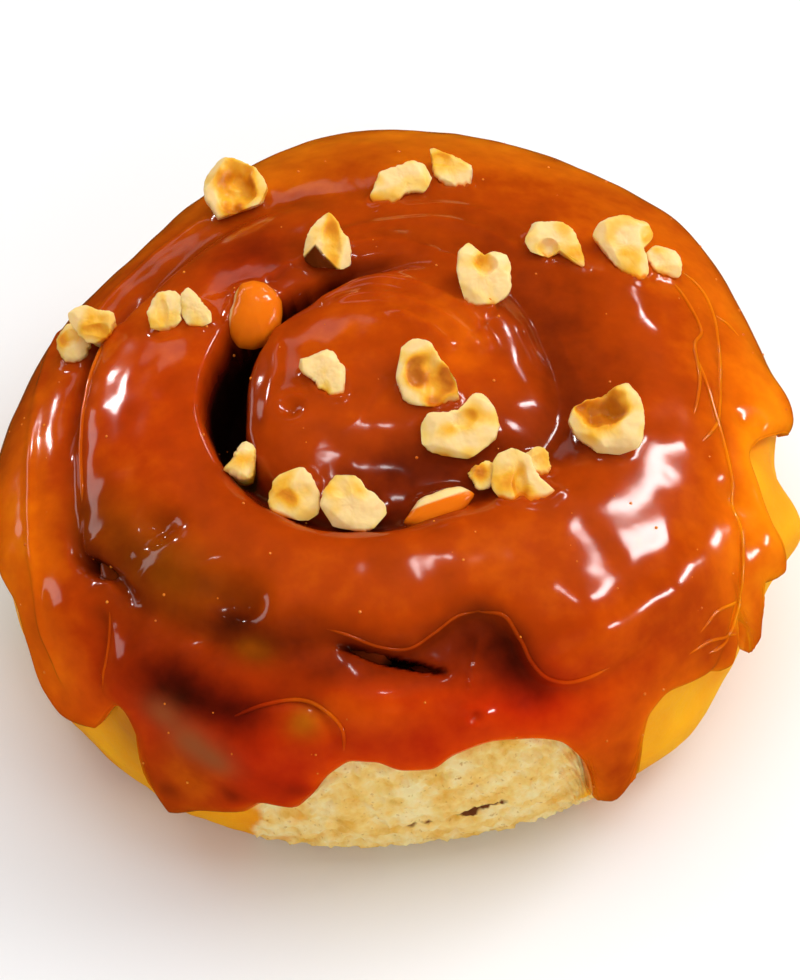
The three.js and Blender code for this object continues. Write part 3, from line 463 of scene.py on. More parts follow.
# %% [markdown]
# Where caramel was dragged as it set, it keeps raised lines: round the rim and across the coil's
# middle. Each is a line laid on the skin like a seam, but raised, and it fades out at both ends.

# %% Drag lines
# height and half width, and the azimuth and reach of each station
DRAG_LINES = [
    (0.40, 0.8, [(160, 56), (172, 53), (184, 51.2), (196, 51.2), (208, 54.4), (217.5, 60), (222, 65)]),
    (0.45, 0.8, [(128, 18.4), (112, 18.0), (96, 17.4), (80, 15.8), (60, 14.8), (38, 14.4), (15, 14.4)]),
    (0.40, 0.7, [(120, 16.0), (100, 14.3), (76, 12.5), (48, 12.0), (14, 12.8)]),
    (0.35, 0.7, [(95, 10.8), (70, 9.6), (45, 9.0), (18, 9.6)]),
    (0.35, 0.9, [(210, 17.5), (180, 15.5), (165, 16.5), (150, 18.0)]),
    (0.40, 0.8, [(118, 26.6), (100, 27.4), (80, 28.6), (62, 28.6), (50, 27.6)]),
    (0.35, 0.8, [(96, 30.4), (80, 31.4), (66, 32.0), (50, 31.0)]),
    (0.40, 0.7, [(34, 20.6), (24, 20.2), (12, 20.4), (2, 21.6)]),
    (0.35, 0.7, [(22, 24.4), (10, 24.8), (-2, 26.2)]),
    (0.30, 0.7, [(128, 44.6), (140, 46.4), (152, 47.6), (162, 48.6)]),
]
LINE_FADE = 3.0
print("drag lines:", len(DRAG_LINES))


def line_along(stations):
    """A smooth line on the skin through stations of azimuth and reach."""
    return smooth_line([(*station, 0.0) for station in stations])[0]


def line_fade(index, count):
    """0 at both ends of a line, 1 away from them."""
    along = index * SEAM_STEP
    return ease(np.clip(np.minimum(along, (count - 1) * SEAM_STEP - along) / LINE_FADE, 0, 1))


def drag_height(azimuth, reach):
    """How far the drag lines stand up."""
    points = flat_point(azimuth, reach)
    height = np.zeros(len(points))
    for tall, half, stations in DRAG_LINES:
        line = line_along(stations)
        index, distance, _ = nearest_on_line(points, line)
        height += tall * line_fade(index, len(line)) * np.exp(-((distance / half) ** 2))
    return height


def caramel_height(azimuth, reach):
    """Height over the body of the caramel's finished outer face, and the caramel's depth."""
    _, outer, thick = skin(azimuth, reach)
    flat = body_point(azimuth, reach)
    waves = slow_waves(flat, length=9, seed=3) + 0.5 * slow_waves(flat, length=4.5, seed=4)
    waves = WAVE_HEIGHT * waves + patches(DENTED, azimuth, reach) * slow_waves(flat, length=4.2, seed=5)
    inward = np.clip((thick - CARAMEL_LIP) / (CARAMEL - CARAMEL_LIP), 0, 1)
    return outer + waves * inward + drag_height(azimuth, reach) * inward, thick


# %% [markdown]
# ## Meshes made ring by ring
# A grid of even quads would crowd at the middle of the top. Rings whose number of points grows with
# their size keep the faces alike; neighbouring rings are joined by walking round both at once.

# %% Rings
def band_faces(inner, outer):
    """Triangles between two rings of point numbers, seen from outside in order."""
    faces = []
    i = j = 0
    m, n = len(inner), len(outer)
    while i < m or j < n:
        a, b = inner[i % m], outer[j % n]
        if m > 1 and (i + 1) / m < (j + 1) / n - 1e-9:
            faces.append((a, b, inner[(i + 1) % m]))
            i += 1
        else:
            faces.append((a, b, outer[(j + 1) % n]))
            j += 1
        if m == 1 and j == n:
            break
    return faces


class RingMesh:
    """Collects rings of places on the skin and joins them into one closed mesh."""

    def __init__(self):
        self.azimuth, self.reach, self.faces, self.count = [], [], [], 0

    def ring(self, count, reach):
        """Adds a ring at one reach, or at the reach that a function gives for each azimuth."""
        azimuth = np.arange(count) * 360 / count
        reach = np.broadcast_to(reach(azimuth) if callable(reach) else reach, azimuth.shape)
        self.azimuth.append(azimuth)
        self.reach.append(reach)
        self.count += count
        return np.arange(self.count - count, self.count)

    def top_rings(self, facet):
        """Rings from the middle of the top to LAST_RING, with faces of about one size."""
        rings = [self.ring(1, 0.0)]
        for reach in even_steps(facet, LAST_RING, facet):
            radius = np.interp(reach, PROFILE_REACH, PROFILE_R)
            rings.append(self.ring(max(8, int(2 * math.pi * radius / facet)), reach))
        return rings

    def join(self, rings, facing_in=False):
        """Faces between each ring and the next one, which lies outside it."""
        for inner, outer in zip(rings, rings[1:]):
            for a, b, c in band_faces(inner, outer):
                self.faces.append((a, c, b) if facing_in else (a, b, c))

    def places(self):
        return np.concatenate(self.azimuth), np.concatenate(self.reach)


def even_steps(first, last, spacing):
    return np.linspace(first, last, max(2, int(round((last - first) / spacing)) + 1))


def add_object(name, data):
    """An object at the origin, in the scene."""
    made = bpy.data.objects.new(name, data)
    bpy.context.scene.collection.objects.link(made)
    return made


def mesh_object(name, points, faces):
    """A smooth-shaded object from points in millimetres."""
    mesh = bpy.data.meshes.new(name)
    mesh.from_pydata((points * MM).tolist(), [], faces)
    mesh.validate()
    mesh.shade_smooth()
    return add_object(name, mesh)


def store(piece, name, values):
    """Keeps a number for each point, for the material to read."""
    attribute = piece.data.attributes.new(name, "FLOAT", "POINT")
    attribute.data.foreach_set("value", np.asarray(values, np.float32))


# %% [markdown]
# ### The caramel mesh
# The outer face carries all the detail, so it has faces of about half a millimetre. The inner face
# lies hidden on the dough and only closes the shell, so its faces are six times as large.

# %% Caramel mesh
FINE = 0.46
HIDDEN = 3.0
LAST_RING = 49.0  # below it the rings follow the edge
EDGE_ROWS = 44
EDGE_POINTS = 780
EDGE_CROWDING = 1.2  # 1 is even, more crowds the rows at the lip
SOAKED_IN = 0.05  # how far the inner face sinks below the usual gap


def caramel_mesh():
    made = RingMesh()
    rows = made.top_rings(FINE)
    for share in even_steps(0, 1, 1 / EDGE_ROWS)[1:]:
        share = 1 - (1 - share) ** EDGE_CROWDING
        rows.append(made.ring(EDGE_POINTS, lambda at: LAST_RING + (edge_reach(at) - LAST_RING) * share))
    made.join(rows)
    shown = made.count
    back = made.top_rings(HIDDEN)
    back.append(made.ring(EDGE_POINTS // 3, lambda at: (LAST_RING + edge_reach(at)) / 2))
    back.append(made.ring(EDGE_POINTS, edge_reach))
    made.join(back, facing_in=True)
    for i in range(EDGE_POINTS):
        a, b = rows[-1][i], rows[-1][(i + 1) % EDGE_POINTS]
        c, d = back[-1][i], back[-1][(i + 1) % EDGE_POINTS]
        made.faces.append((a, c, d, b))
    azimuth, reach = made.places()
    height, thick = caramel_height(azimuth, reach)
    height[shown:] = skin(azimuth[shown:], reach[shown:])[0] + SEAT_GAP - SOAKED_IN
    piece = mesh_object("poured_caramel", body_point(azimuth, reach, height), made.faces)
    outside = np.arange(len(reach)) < shown
    store(piece, "outside", outside)
    return piece, outside, azimuth, reach, height, thick


caramel, caramel_outside, *caramel_places = caramel_mesh()
print("caramel:", len(caramel.data.vertices), "points,", len(caramel.data.polygons), "faces")

# %% [markdown]
# ### The dough mesh
# Under the caramel the dough needs no detail. Below its edge the roll shows: pale torn crumb where it
# was pulled from its neighbour, and smooth golden dough elsewhere.

# %% Dough mesh
BARE_FACET = 0.6
UNDER_THE_EDGE = 2.0  # how far the bare dough's rings start under the caramel
TORN_SIDES = [(276, 25), (97, 24), (186, 13)]  # azimuth and half width in degrees
CRUMB_DEPTH = 0.7
CRUMB_SCALE = 0.55
PORE_SCALE = 0.42
PORE_SIZE = 0.42
PORE_DEPTH = 2.4
BURNT_DEPTH = 0.6
FOOT_FADE = 3.0  # the relief fades out below this level
# azimuth, reach, amount, half width round the roll, half width along the reach
BURNT = [
    (272, 77.2, 0.7, 1.3, 0.6),
    (274.5, 76.9, 0.7, 1.3, 0.7),
    (278.5, 76.5, 0.9, 1.6, 0.8),
    (280.5, 76.0, 1.2, 1.6, 1.1),
    (282.6, 75.4, 1.2, 1.6, 1.1),
    (284.8, 74.8, 0.9, 1.5, 0.8),
]
# patches where the bare dough is a darker amber, on the lower left
AMBER = [(231.5, 67.0, 1.0, 5.0, 9.0), (214, 72.0, 0.6, 6.0, 8.0)]


def torn_share(azimuth, reach):
    """1 where the side is torn crumb, 0 where it is smooth, with ragged ends."""
    ragged = 2.5 * np.sin(np.radians(azimuth * 9)) + 1.5 * np.sin(np.radians(azimuth * 23 + 40))
    ragged += 3.0 * np.sin(reach * 0.33 + azimuth) + 1.6 * np.sin(reach * 0.85 + azimuth / 3)
    torn = np.zeros(np.shape(azimuth))
    for at, half in TORN_SIDES:
        edge = (half - np.abs(azimuth_gap(azimuth, at)) + ragged) / 4
        torn = np.maximum(torn, np.clip(edge, 0, 1))
    return torn


def dough_rings():
    """Coarse rings under the caramel, then fine ones down to the foot."""
    made = RingMesh()
    rows = made.top_rings(HIDDEN)
    start = lambda at: edge_reach(at) - UNDER_THE_EDGE
    count = int(2 * math.pi * ROLL_RADIUS / BARE_FACET)
    rows.append(made.ring(count // 3, start))
    for share in even_steps(0, 1, BARE_FACET / (FOOT_REACH - EDGE_REACH)):
        rows.append(made.ring(count, lambda at: start(at) + (FOOT_REACH - start(at)) * share))
    made.join(rows)
    return made, rows[-1]


def dough_points(azimuth, reach):
    """Points of the dough with its relief, and how torn each one is."""
    flat = body_point(azimuth, reach)
    bare = np.clip((reach - edge_reach(azimuth) + 1.5) / 2, 0, 1)
    torn = torn_share(azimuth, reach) * bare
    crumb = np.array([noise.fractal(Vector(p) * CRUMB_SCALE, 0.6, 2.1, 5) for p in flat])
    pores = np.array([noise.voronoi(Vector(p) * PORE_SCALE)[0][0] for p in flat])
    rough = CRUMB_DEPTH * (crumb - np.clip(PORE_SIZE - pores, 0, 1) * PORE_DEPTH)
    rough -= BURNT_DEPTH * patches(BURNT, azimuth, reach)
    soft = 0.25 * slow_waves(flat, length=12, seed=8) + 0.08 * slow_waves(flat, length=4, seed=9)
    foot = np.clip(flat[:, 2] / FOOT_FADE, 0, 1)
    height = skin(azimuth, reach)[0] + foot * (torn * rough + (1 - torn) * bare * soft)
    return body_point(azimuth, reach, height), torn


# %% [markdown]
# ### The underside
# The roll rests on a flat face, where the coil's seam shows as a shallow spiral groove. A boolean
# could cut it, but rings drawn in towards the middle keep clean faces and can sink along a spiral.

# %% Underside
UNDER_RINGS = 46
SPIRAL_TURNS = 3.0
SPIRAL_START = 0.3  # in turns
SPIRAL_DEPTH = 0.7
SPIRAL_SHARPNESS = 16
SPIRAL_END = 0.93  # share of the radius where the groove has faded out
SPIRAL_FADE = 0.08


def close_underside(made, rim, rim_points):
    """Rings under the roll, flat to rest on, with the coil's seam pressed lightly into them."""
    added, outer, total = [], rim, made.count
    for k in range(UNDER_RINGS - 1, 0, -1):
        share = k / UNDER_RINGS
        count = max(8, int(len(rim) * share / 2))
        pick = (np.arange(count) * len(rim) / count).astype(int)
        points = rim_points[pick] * [share, share, 0]
        turn = np.arctan2(points[:, 1], points[:, 0]) / (2 * math.pi)
        phase = (share * SPIRAL_TURNS - turn + SPIRAL_START) % 1
        groove = np.exp(-((np.minimum(phase, 1 - phase) * SPIRAL_SHARPNESS) ** 2))
        points[:, 2] = SPIRAL_DEPTH * groove * np.clip((SPIRAL_END - share) / SPIRAL_FADE, 0, 1)
        added.append(points)
        ring = np.arange(total, total + count)
        made.join([ring, outer], facing_in=True)
        outer, total = ring, total + count
    made.join([[total], outer], facing_in=True)
    return [*added, np.zeros((1, 3))]


def dough_mesh():
    made, rim = dough_rings()
    azimuth, reach = made.places()
    points, torn = dough_points(azimuth, reach)
    under = np.concatenate(close_underside(made, rim, points[rim]))
    piece = mesh_object("baked_dough", np.concatenate([points, under]), made.faces)
    finish = {name: np.clip(patches(places, azimuth, reach), 0, 1)
              for name, places in (("burnt", BURNT), ("amber", AMBER))}
    for name, amount in {"torn": torn, **finish}.items():
        store(piece, name, np.concatenate([amount, np.zeros(len(under))]))
    return piece


dough = dough_mesh()
print("dough:", len(dough.data.vertices), "points,", len(dough.data.polygons), "faces")

# %% [markdown]
# ## Broken hazelnuts
# Each bit of nut is a shard of a kernel: a crisp uneven outline, a broken face with a scoop where the
# kernel's hollow middle was, and an angular back. Sculpting 24 of them would be slow; one function
# makes them all from a few sizes and an outline of corners at even angles. Cuts along planes and
# noise finish them, so every shard has its own shape but they stay one family.

# %% Nut sizes
# place is azimuth, reach and level over the body; facing is how far the broken face turns from the
# skin to FRONT_UP; scoop is x, y, half length, half width, turn and depth, and toasted how brown it
# is; outline starts at +x and goes to the left; golden is x, y and radius of each toasted patch;
# cover is the corner and the two angles of a part that has another colour.
FRONT_UP = np.array([0, -0.63, 0.78])  # forwards and up
NUTS = {
    "nut_01": dict(
        place=(122.3, 43.6, 0.8), thick=5.2, scoop=(0.8, 0.4, 4.6, 2.9, 90, 2.2), toasted=0.8,
        outline=(4.75, 4.6, 4.5, 4.2, 4.7, 5.1, 4.4, 4.4, 4.1, 4.2, 4.2, 5, 4.3, 3.9, 4.2, 4.6),
        golden=((0.5, 2.5, 2.5), (3.2, 0.3, 2.0)),
    ),
    "nut_02": dict(
        place=(167.5, 48.1, 0.1), thick=4.2, scoop=(-0.3, 0.5, 1.8, 1.5, 90, 0.5), roundness=0.5,
        outline=(2.35, 2.2, 2, 2.4, 2.8, 2.7, 2.5, 2.3, 2.3, 2.4, 2.6, 2.9, 2.9, 2.9, 2.6, 2.4),
        golden=((0.0, 0.5, 1.5),),
    ),
    "nut_03": dict(
        place=(166, 43.6, 1.4), thick=3.4, scoop=(0.2, -1.3, 2.2, 1.4, 0, 0.6),
        outline=(2.5, 3.4, 2.6, 2.1, 2.3, 3.2, 3.7, 4, 3.2, 2.6, 2.4, 2.5, 2.5, 2.3, 2.4, 2.5),
        golden=((-1.5, -1.0, 1.6), (1.8, 0.6, 1.2)),
    ),
    "nut_04": dict(
        place=(161.0, 33.6, 1.1), thick=3.2, scoop=(-0.5, -0.6, 2.4, 0.9, 90, 0.5),
        outline=(2.1, 2.3, 2.9, 3.2, 3.1, 2.9, 2.7, 2.6, 2.7, 2.6, 2.9, 2.7, 3, 3.1, 2.6, 2.2),
        golden=((0.2, -1.5, 1.8), (-1.0, 0.5, 1.2)),
    ),
    "nut_05": dict(
        place=(157.4, 29.8, 0.9), thick=2.8,
        outline=(1.5, 1.1, 1.1, 1.3, 2, 3.4, 3.1, 2.4, 2.2, 2.3, 2.4, 2.65, 2.35, 2.7, 2.9, 2.2),
    ),
    "nut_06": dict(
        place=(146.6, 23.8, -1.5), thick=7.0, roundness=0.9, cover=(-2.3, 1.5, 258, 438),
        outline=(3.9, 4.1, 4.2, 4.4, 4.5, 4.4, 3.6, 3, 3.3, 3.9, 4.5, 5.2, 5.1, 4.9, 4.3, 4),
    ),
    "nut_07": dict(
        place=(110.5, 24.0, 0.3), thick=4.0, scoop=(0.4, 0.2, 3.8, 1.3, 90, 0.6),
        cover=(-1.8, -0.2, 224, 312),
        outline=(3, 2.9, 2.7, 3.4, 4.7, 4, 3.4, 3.2, 3.3, 3.7, 4.2, 4.7, 4, 4.3, 4.2, 3.15),
        golden=((1.5, -0.5, 1.6),),
    ),
    "nut_08": dict(
        place=(87.6, 34.6, -0.3), thick=3.0, scoop=(-3.2, -2.8, 1.8, 1.4, 0, 0.1),
        outline=(4.3, 3.9, 4.05, 3.6, 2.75, 2.6, 2.95, 3.7, 3.9, 5.1, 5.3, 4.5, 1.9, 1.8, 2.1, 4.4),
        golden=((-1.5, -2.2, 2.0), (-3.0, 0.0, 1.2)),
    ),
    "nut_09": dict(
        place=(77.6, 37.5, 0.4), thick=3.0, scoop=(-1.9, 1.4, 2.0, 1.3, 0, 0.6),
        outline=(3.9, 2.2, 1.75, 1.65, 1.8, 2.45, 4.7, 3.3, 2.9, 2.8, 2.7, 3, 3, 3.1, 3.5, 4.1),
        golden=((-2.0, 1.5, 1.8), (0.5, 0.8, 1.5)),
    ),
    "nut_10": dict(
        place=(51.6, 19.3, 1.3), thick=4.2, scoop=(0.3, 1.6, 1.7, 1.5, 0, 1.3),
        outline=(3.7, 4, 4.4, 3.9, 3.05, 5.4, 4.8, 3.85, 3.8, 4.3, 4.5, 4.4, 4, 4.1, 4.1, 3.9),
        golden=((0.3, 1.5, 1.5),),
    ),
    "nut_11": dict(
        place=(46.4, 31.4, 0.6), thick=3.0, scoop=(-1.2, -0.9, 1.6, 1.3, 0, 1.2),
        outline=(3.3, 3.1, 2.95, 3, 3.05, 3.3, 4.3, 4.7, 4.2, 3.7, 3, 2.3, 1.7, 1.5, 5.9, 4.25),
        golden=((-1.0, -1.0, 1.5), (2.5, -2.5, 1.5)),
    ),
    "nut_12": dict(
        place=(35.7, 38.8, 1.2), thick=4.0, scoop=(3.6, 2.2, 1.7, 1.2, 20, 0.6),
        outline=(2.3, 4.2, 5.6, 4.6, 4.6, 4.8, 5, 5, 3.4, 2.8, 2.8, 3.3, 4.1, 5.7, 4.6, 3),
        golden=((0.0, -2.5, 2.2), (1.5, -4.0, 1.6), (-2.0, 1.0, 1.5)),
    ),
    "nut_13": dict(
        place=(30.7, 43.2, 1.0), thick=3.0,
        outline=(2.5, 2.4, 2.35, 2.25, 2.3, 2.7, 2.6, 2.6, 2.3, 1.9, 2, 2, 2.1, 2.5, 3.4, 2.7),
        golden=((-1.0, 1.2, 1.0),),
    ),
    "nut_14": dict(
        place=(183.4, 8.7, 0.9), facing=0.75, thick=2.6, scoop=(0.4, -2.0, 1.3, 0.7, 90, 0.2),
        outline=(3.1, 3, 2.7, 3.3, 3.5, 3.2, 3.5, 3.75, 2.6, 1.7, 1.5, 2.2, 2.2, 3.9, 3.9, 3.5),
        golden=((0.0, -2.2, 1.5),),
    ),
    "nut_15": dict(
        place=(349.0, 5.2, 1.4), facing=0.75, thick=3.6, scoop=(0.7, -0.7, 3.8, 2.9, -50, 1.0), toasted=0.9,
        outline=(3.6, 2.8, 2.55, 3.1, 4.7, 5.1, 5, 4.5, 4.2, 4.3, 4.6, 4.85, 4.65, 4.5, 5.1, 5.5),
        golden=((1.2, -1.2, 3.2), (-1.0, 1.0, 1.6)),
    ),
    "nut_16": dict(
        place=(316.3, 12.7, 0.0), facing=0.75, thick=3.2, scoop=(0.7, 0.7, 1.8, 1.3, 20, 0.6),
        outline=(5.2, 5.3, 5.7, 4.6, 2.1, 2.05, 2.4, 4.4, 5, 5.9, 5, 4.7, 5, 4.9, 4.65, 5),
        golden=((0.6, 0.8, 1.6), (-1.0, -0.5, 1.2)),
    ),
    "nut_17": dict(
        place=(342.5, 30.0, 0.8), facing=0.75, thick=6.0, scoop=(-1.2, 1.9, 3.6, 2.8, 20, 2.8), toasted=0.95,
        outline=(4.45, 4.85, 5.2, 5.7, 4.1, 3.7, 4.2, 5.1, 5.4, 4.9, 4.1, 4.45, 5.15, 5.1, 5.2, 4.7),
        golden=((-1.2, 2.0, 3.0),),
    ),
    "nut_18": dict(
        place=(216, 22.6, -1.2), thick=3.6, roundness=0.6,
        outline=(1.55, 1.75, 2.4, 2.9, 2.6, 1.9, 1.65, 1.45, 1.6, 2.8, 2.35, 2.25, 2.45, 2.6, 1.9, 1.6),
        golden=((0.0, 0.0, 3.0),),
    ),
    "nut_19": dict(
        place=(235.0, 21.8, -2.3), facing=0.8, thick=3.6, scoop=(-1.1, -0.9, 1.9, 1.8, 0, 0.3),
        outline=(4, 3.5, 3.7, 4, 3.45, 3.1, 2.8, 2.65, 2.7, 3, 3.3, 3.3, 3.2, 3.9, 4.6, 4.2),
        golden=((-0.2, 2.2, 1.8), (1.2, 1.8, 1.2), (-3.0, 0.0, 1.6)),
    ),
    "nut_20": dict(
        place=(255.7, 20.9, -2.1), facing=0.8, thick=3.6, scoop=(-1.2, 2.4, 1.7, 1.5, 0, 0.3),
        outline=(4.6, 3.6, 2.9, 3.6, 4.1, 4.55, 4.05, 3.85, 3.9, 3.95, 4, 3.3, 3.25, 3.9, 4.5, 5),
        golden=((-1.5, 2.4, 2.2), (0.0, 3.0, 1.6)),
    ),
    "nut_21": dict(
        place=(286.8, 21.5, -3.4), thick=4.0, roundness=0.7, cover=(0, 0.9, 199, 379),
        outline=(3.6, 5.3, 4.2, 2.9, 2.25, 2.05, 2.35, 2.8, 3.3, 4.9, 3.9, 3, 2.4, 2.2, 2.3, 2.9),
    ),
    "nut_22": dict(
        place=(314.4, 24.0, -1.6), facing=0.75, thick=4.0, scoop=(0.2, -0.6, 3.2, 1.0, 90, 0.7),
        outline=(3, 2.5, 2.6, 3.8, 4.1, 5.1, 4.6, 3.7, 3.5, 3.8, 3.5, 3.4, 4, 5, 5.6, 6.6),
        golden=((-0.5, 0.5, 1.6), (0.5, -1.5, 1.6)),
    ),
    "nut_23": dict(
        place=(307.4, 19.8, -1.9), thick=2.6,
        outline=(1.6, 1.7, 2, 1.9, 1.4, 1.2, 1.4, 1.5, 1.75, 1.6, 1.6, 2.1, 2.3, 2.2, 2, 1.8),
        golden=((0.0, 0.0, 1.6),),
    ),
    "nut_24": dict(
        place=(323.5, 24.0, -2.0), thick=2.6, scoop=(0.6, 0.4, 1.5, 1.2, 60, 0.3),
        outline=(1.8, 1.85, 2.15, 2.4, 2.5, 2.2, 2, 1.8, 1.6, 1.5, 1.4, 1.5, 1.6, 2.1, 2.1, 1.95),
        golden=((0.0, 0.3, 1.6),),
    ),
}
COATED = ("nut_06", "nut_21")
SKINNED = ("nut_07",)
NUT_SIDES = 96
NUT_ROWS = 50
BROKEN_EDGE = 0.22  # 1 is a round edge, less is squarer
BACK_TAPER = 0.9  # how much a nut narrows towards its back
USUAL_RADIUS = 4  # of a nut, to space its rings evenly
SOFT_EDGE = 0.25  # of a covered part
SUNK = 0.8  # how far a nut's foot goes into the caramel
DEEPEST = 5.0  # the longest that a nut's back may be drawn down


# %% [markdown]
# The blank of a shard is a stack of rings in the outline's shape. It is placed by the way that its
# broken face looks, and its back is drawn down into the caramel, so that it stands and doesn't float.

# %% Nut outline
def nut_outline(radii, angle):
    """The outline's radius at an angle: straight edges between corners at even angles."""
    count = len(radii)
    step = 2 * math.pi / count
    low = np.floor(angle / step).astype(int)
    t = angle - low * step
    a, b = (np.array(radii)[(low + k) % count] for k in (0, 1))
    radius = a * b * math.sin(step) / (a * np.sin(t) + b * np.sin(step - t))
    return 0.25 * np.roll(radius, 1) + 0.5 * radius + 0.25 * np.roll(radius, -1)


def nut_axes(place, facing):
    """Across, up and out of a nut's broken face, as a 3 by 3, and its middle."""
    azimuth, reach, level = place
    middle = body_point(azimuth, reach, level)
    out = (1 - facing) * (body_point(azimuth, reach, level + 1) - middle) + facing * FRONT_UP
    out /= np.linalg.norm(out)
    across = np.array([1.0, 0, 0]) - out[0] * out
    across /= np.linalg.norm(across)
    return np.stack([across, np.cross(out, across), out], -1), middle


def noise_at(points, scale, offset):
    return np.array([noise.noise(Vector(p * scale + offset)) for p in points])


# %% Nut shapes
def nut_profile(thick, roundness):
    """Evenly spaced shares of the radius and heights from the middle of the face to the back."""
    slope = np.linspace(0, math.pi, 2000)
    share = np.sin(slope) ** roundness
    height = np.sign(np.cos(slope)) * np.abs(np.cos(slope)) ** roundness * thick / 2
    share[-1] = 0
    share *= np.where(height < 0, 1 + BACK_TAPER * height / thick, 1)
    steps = np.hypot(np.diff(share) * USUAL_RADIUS, np.diff(height))
    length = np.concatenate([[0], np.cumsum(steps)])
    at = np.linspace(0, length[-1], NUT_ROWS)
    return np.interp(at, length, share), np.interp(at, length, height)


def cut_flat(points, normal, keep):
    """Moves what lies beyond a plane back onto it."""
    normal = normal / np.linalg.norm(normal)
    off = points @ normal
    return points - np.outer(np.maximum(0, off - keep * off.max()), normal)


def within(points, corner):
    """1 inside the part of a face between two angles round a corner, else 0, with a soft edge."""
    x, y, start, end = corner
    side = np.ones(len(points))
    for angle, turn in ((start, 1), (end, -1)):
        a = math.radians(angle)
        off = turn * ((points[:, 1] - y) * math.cos(a) - (points[:, 0] - x) * math.sin(a))
        side = np.minimum(side, np.clip(0.5 + off / SOFT_EDGE, 0, 1))
    return side


def seat(points, place, back):
    """Draws the back of a nut down into the caramel, so that it stands on all sides."""
    azimuth, reach, level = place
    out = body_point(azimuth, reach, 1.0) - body_point(azimuth, reach, 0.0)
    floor_level = caramel_height(np.array([azimuth]), np.array([reach]))[0][0] - SUNK
    drop = np.clip(points @ out + level - floor_level, 0, DEEPEST)
    return points - np.outer(ease(back) * drop, out)


# %% [markdown]
# A kernel breaks along flat planes and leaves a fibrous face. So the blank gets its scoop first, then
# a few flat cuts at the front and more at the back, and noise last, coarse before fine.

# %% Nut relief
EDGE_RELIEF = [(0.16, 4.5), (0.10, 13.0)]  # height in mm and scale of the noise on the outline
FACE_RELIEF = [(0.30, 0.4), (0.07, 1.3), (0.03, 3.2)]  # the same all over
COATED_RELIEF = 0.15  # share of the relief that shows through a coat
# front and back: how many cuts, how far they tilt, which way they face, the share that they keep
CUTS = [(4, 0.5, 1.0, 0.86), (8, 1.0, -0.7, 0.82)]
OUTWARDS = 0.4  # how far the relief moves away from a nut's middle
FORWARDS = 0.8  # how far it moves straight out of its front and back
GOLDEN = 0.5  # how brown a golden patch is at its middle


def noise_sum(layers, points, offset):
    return sum(height * noise_at(points, scale, offset) for height, scale in layers)


def nut_blank(outline, thick, roundness, relief, offset):
    """Points and faces of a flat-faced blank with the nut's outline."""
    share, height = nut_profile(thick, roundness)
    angle = np.arange(NUT_SIDES) * 2 * math.pi / NUT_SIDES
    around = np.stack([np.cos(angle), np.sin(angle), 0 * angle], -1)
    radius = nut_outline(outline, angle) + relief * noise_sum(EDGE_RELIEF, around, offset)
    rings = [[0]]
    points = [(0, 0, height[0])]
    for s, h in zip(share[1:-1], height[1:-1]):
        rings.append(range(len(points), len(points) + NUT_SIDES))
        points += list(zip(s * radius * np.cos(angle), s * radius * np.sin(angle), [h] * NUT_SIDES))
    rings.append([len(points)])
    points.append((0, 0, height[-1]))
    faces = [face for inner, outer in zip(rings, rings[1:-1]) for face in band_faces(inner, outer)]
    faces += [(a, c, b) for a, b, c in band_faces(rings[-1], rings[-2])]
    return np.array(points), faces


def scoop_distance(points, scoop, offset):
    """0 at the middle of a scoop, 1 at its rim, and uneven as a break is."""
    x, y, long, wide, turn, _ = scoop
    a = math.radians(turn)
    u = ((points[:, 0] - x) * math.cos(a) + (points[:, 1] - y) * math.sin(a)) / long
    v = ((points[:, 1] - y) * math.cos(a) - (points[:, 0] - x) * math.sin(a)) / wide
    return u**2 + v**2 + 0.55 * noise_at(points, 0.55, offset + 5)


# %% Nut meshes
def nut_mesh(node, place, thick, outline, facing=0.7, scoop=None, toasted=0.5, golden=(),
             roundness=BROKEN_EDGE, cover=None):
    """One shard in its place, with what its finish needs to know stored at each point."""
    draw = np.random.default_rng(int(node[-2:]))
    offset = draw.uniform(-50, 50, 3)
    relief = COATED_RELIEF if node in COATED else 1.0
    points, faces = nut_blank(outline, thick, roundness, relief, offset)
    front = np.clip(0.5 + points[:, 2] / (0.4 * thick), 0, 1)
    brown = np.zeros(len(points))
    if scoop:
        far = scoop_distance(points, scoop, offset)
        brown = toasted * ease(np.clip(1.15 - 0.6 * far, 0, 1)) * front
        points[:, 2] -= scoop[-1] * (np.clip(1 - far, 0, 1) * front)
    for x, y, radius in golden:
        far = ((points[:, 0] - x) ** 2 + (points[:, 1] - y) ** 2) / radius**2
        brown = np.maximum(brown, GOLDEN * np.exp(-far))
    for count, spread, direction, keep in CUTS if node not in COATED else []:
        for _ in range(count):
            points = cut_flat(points, np.append(draw.normal(size=2) * spread, direction), keep)
    size = np.linalg.norm(points, axis=1)[:, None]
    ahead = np.array([0, 0, 1.0]) * (2 * front[:, None] - 1)
    out = points / np.maximum(size, 0.5) * OUTWARDS + ahead * FORWARDS
    points += relief * out * noise_sum(FACE_RELIEF, points, offset)[:, None]
    turned, middle = nut_axes(place, facing)
    placed = seat(points @ turned.T, place, np.clip(-2 * points[:, 2] / thick, 0, 1)) + middle
    piece = mesh_object("hazel" + node[3:], placed, faces)
    store(piece, "hollow", np.clip(brown + 0.7 * noise_at(points, 0.4, offset + 9), 0, 1))
    covered = within(points, cover) if cover else np.zeros(len(points))
    store(piece, "brown", covered * (node in SKINNED))
    store(piece, "coat", covered * (node in COATED))
    return piece


nuts = {node: nut_mesh(node, **sizes) for node, sizes in NUTS.items()}
print("nuts:", len(nuts), "with", len(nuts["nut_01"].data.polygons), "faces each")

# %% [markdown]
# Caramel creeps up the foot of every shard. The distance between the caramel and the nuts comes from
# a search tree over each mesh: the caramel is drawn up a little near a nut, and a nut's finish turns
# to caramel near the caramel.

# %% Contact
COLLAR_HEIGHT = 0.5
COLLAR_WIDTH = 0.7
FARTHEST = 2.0  # a nut's points that stand higher count as this


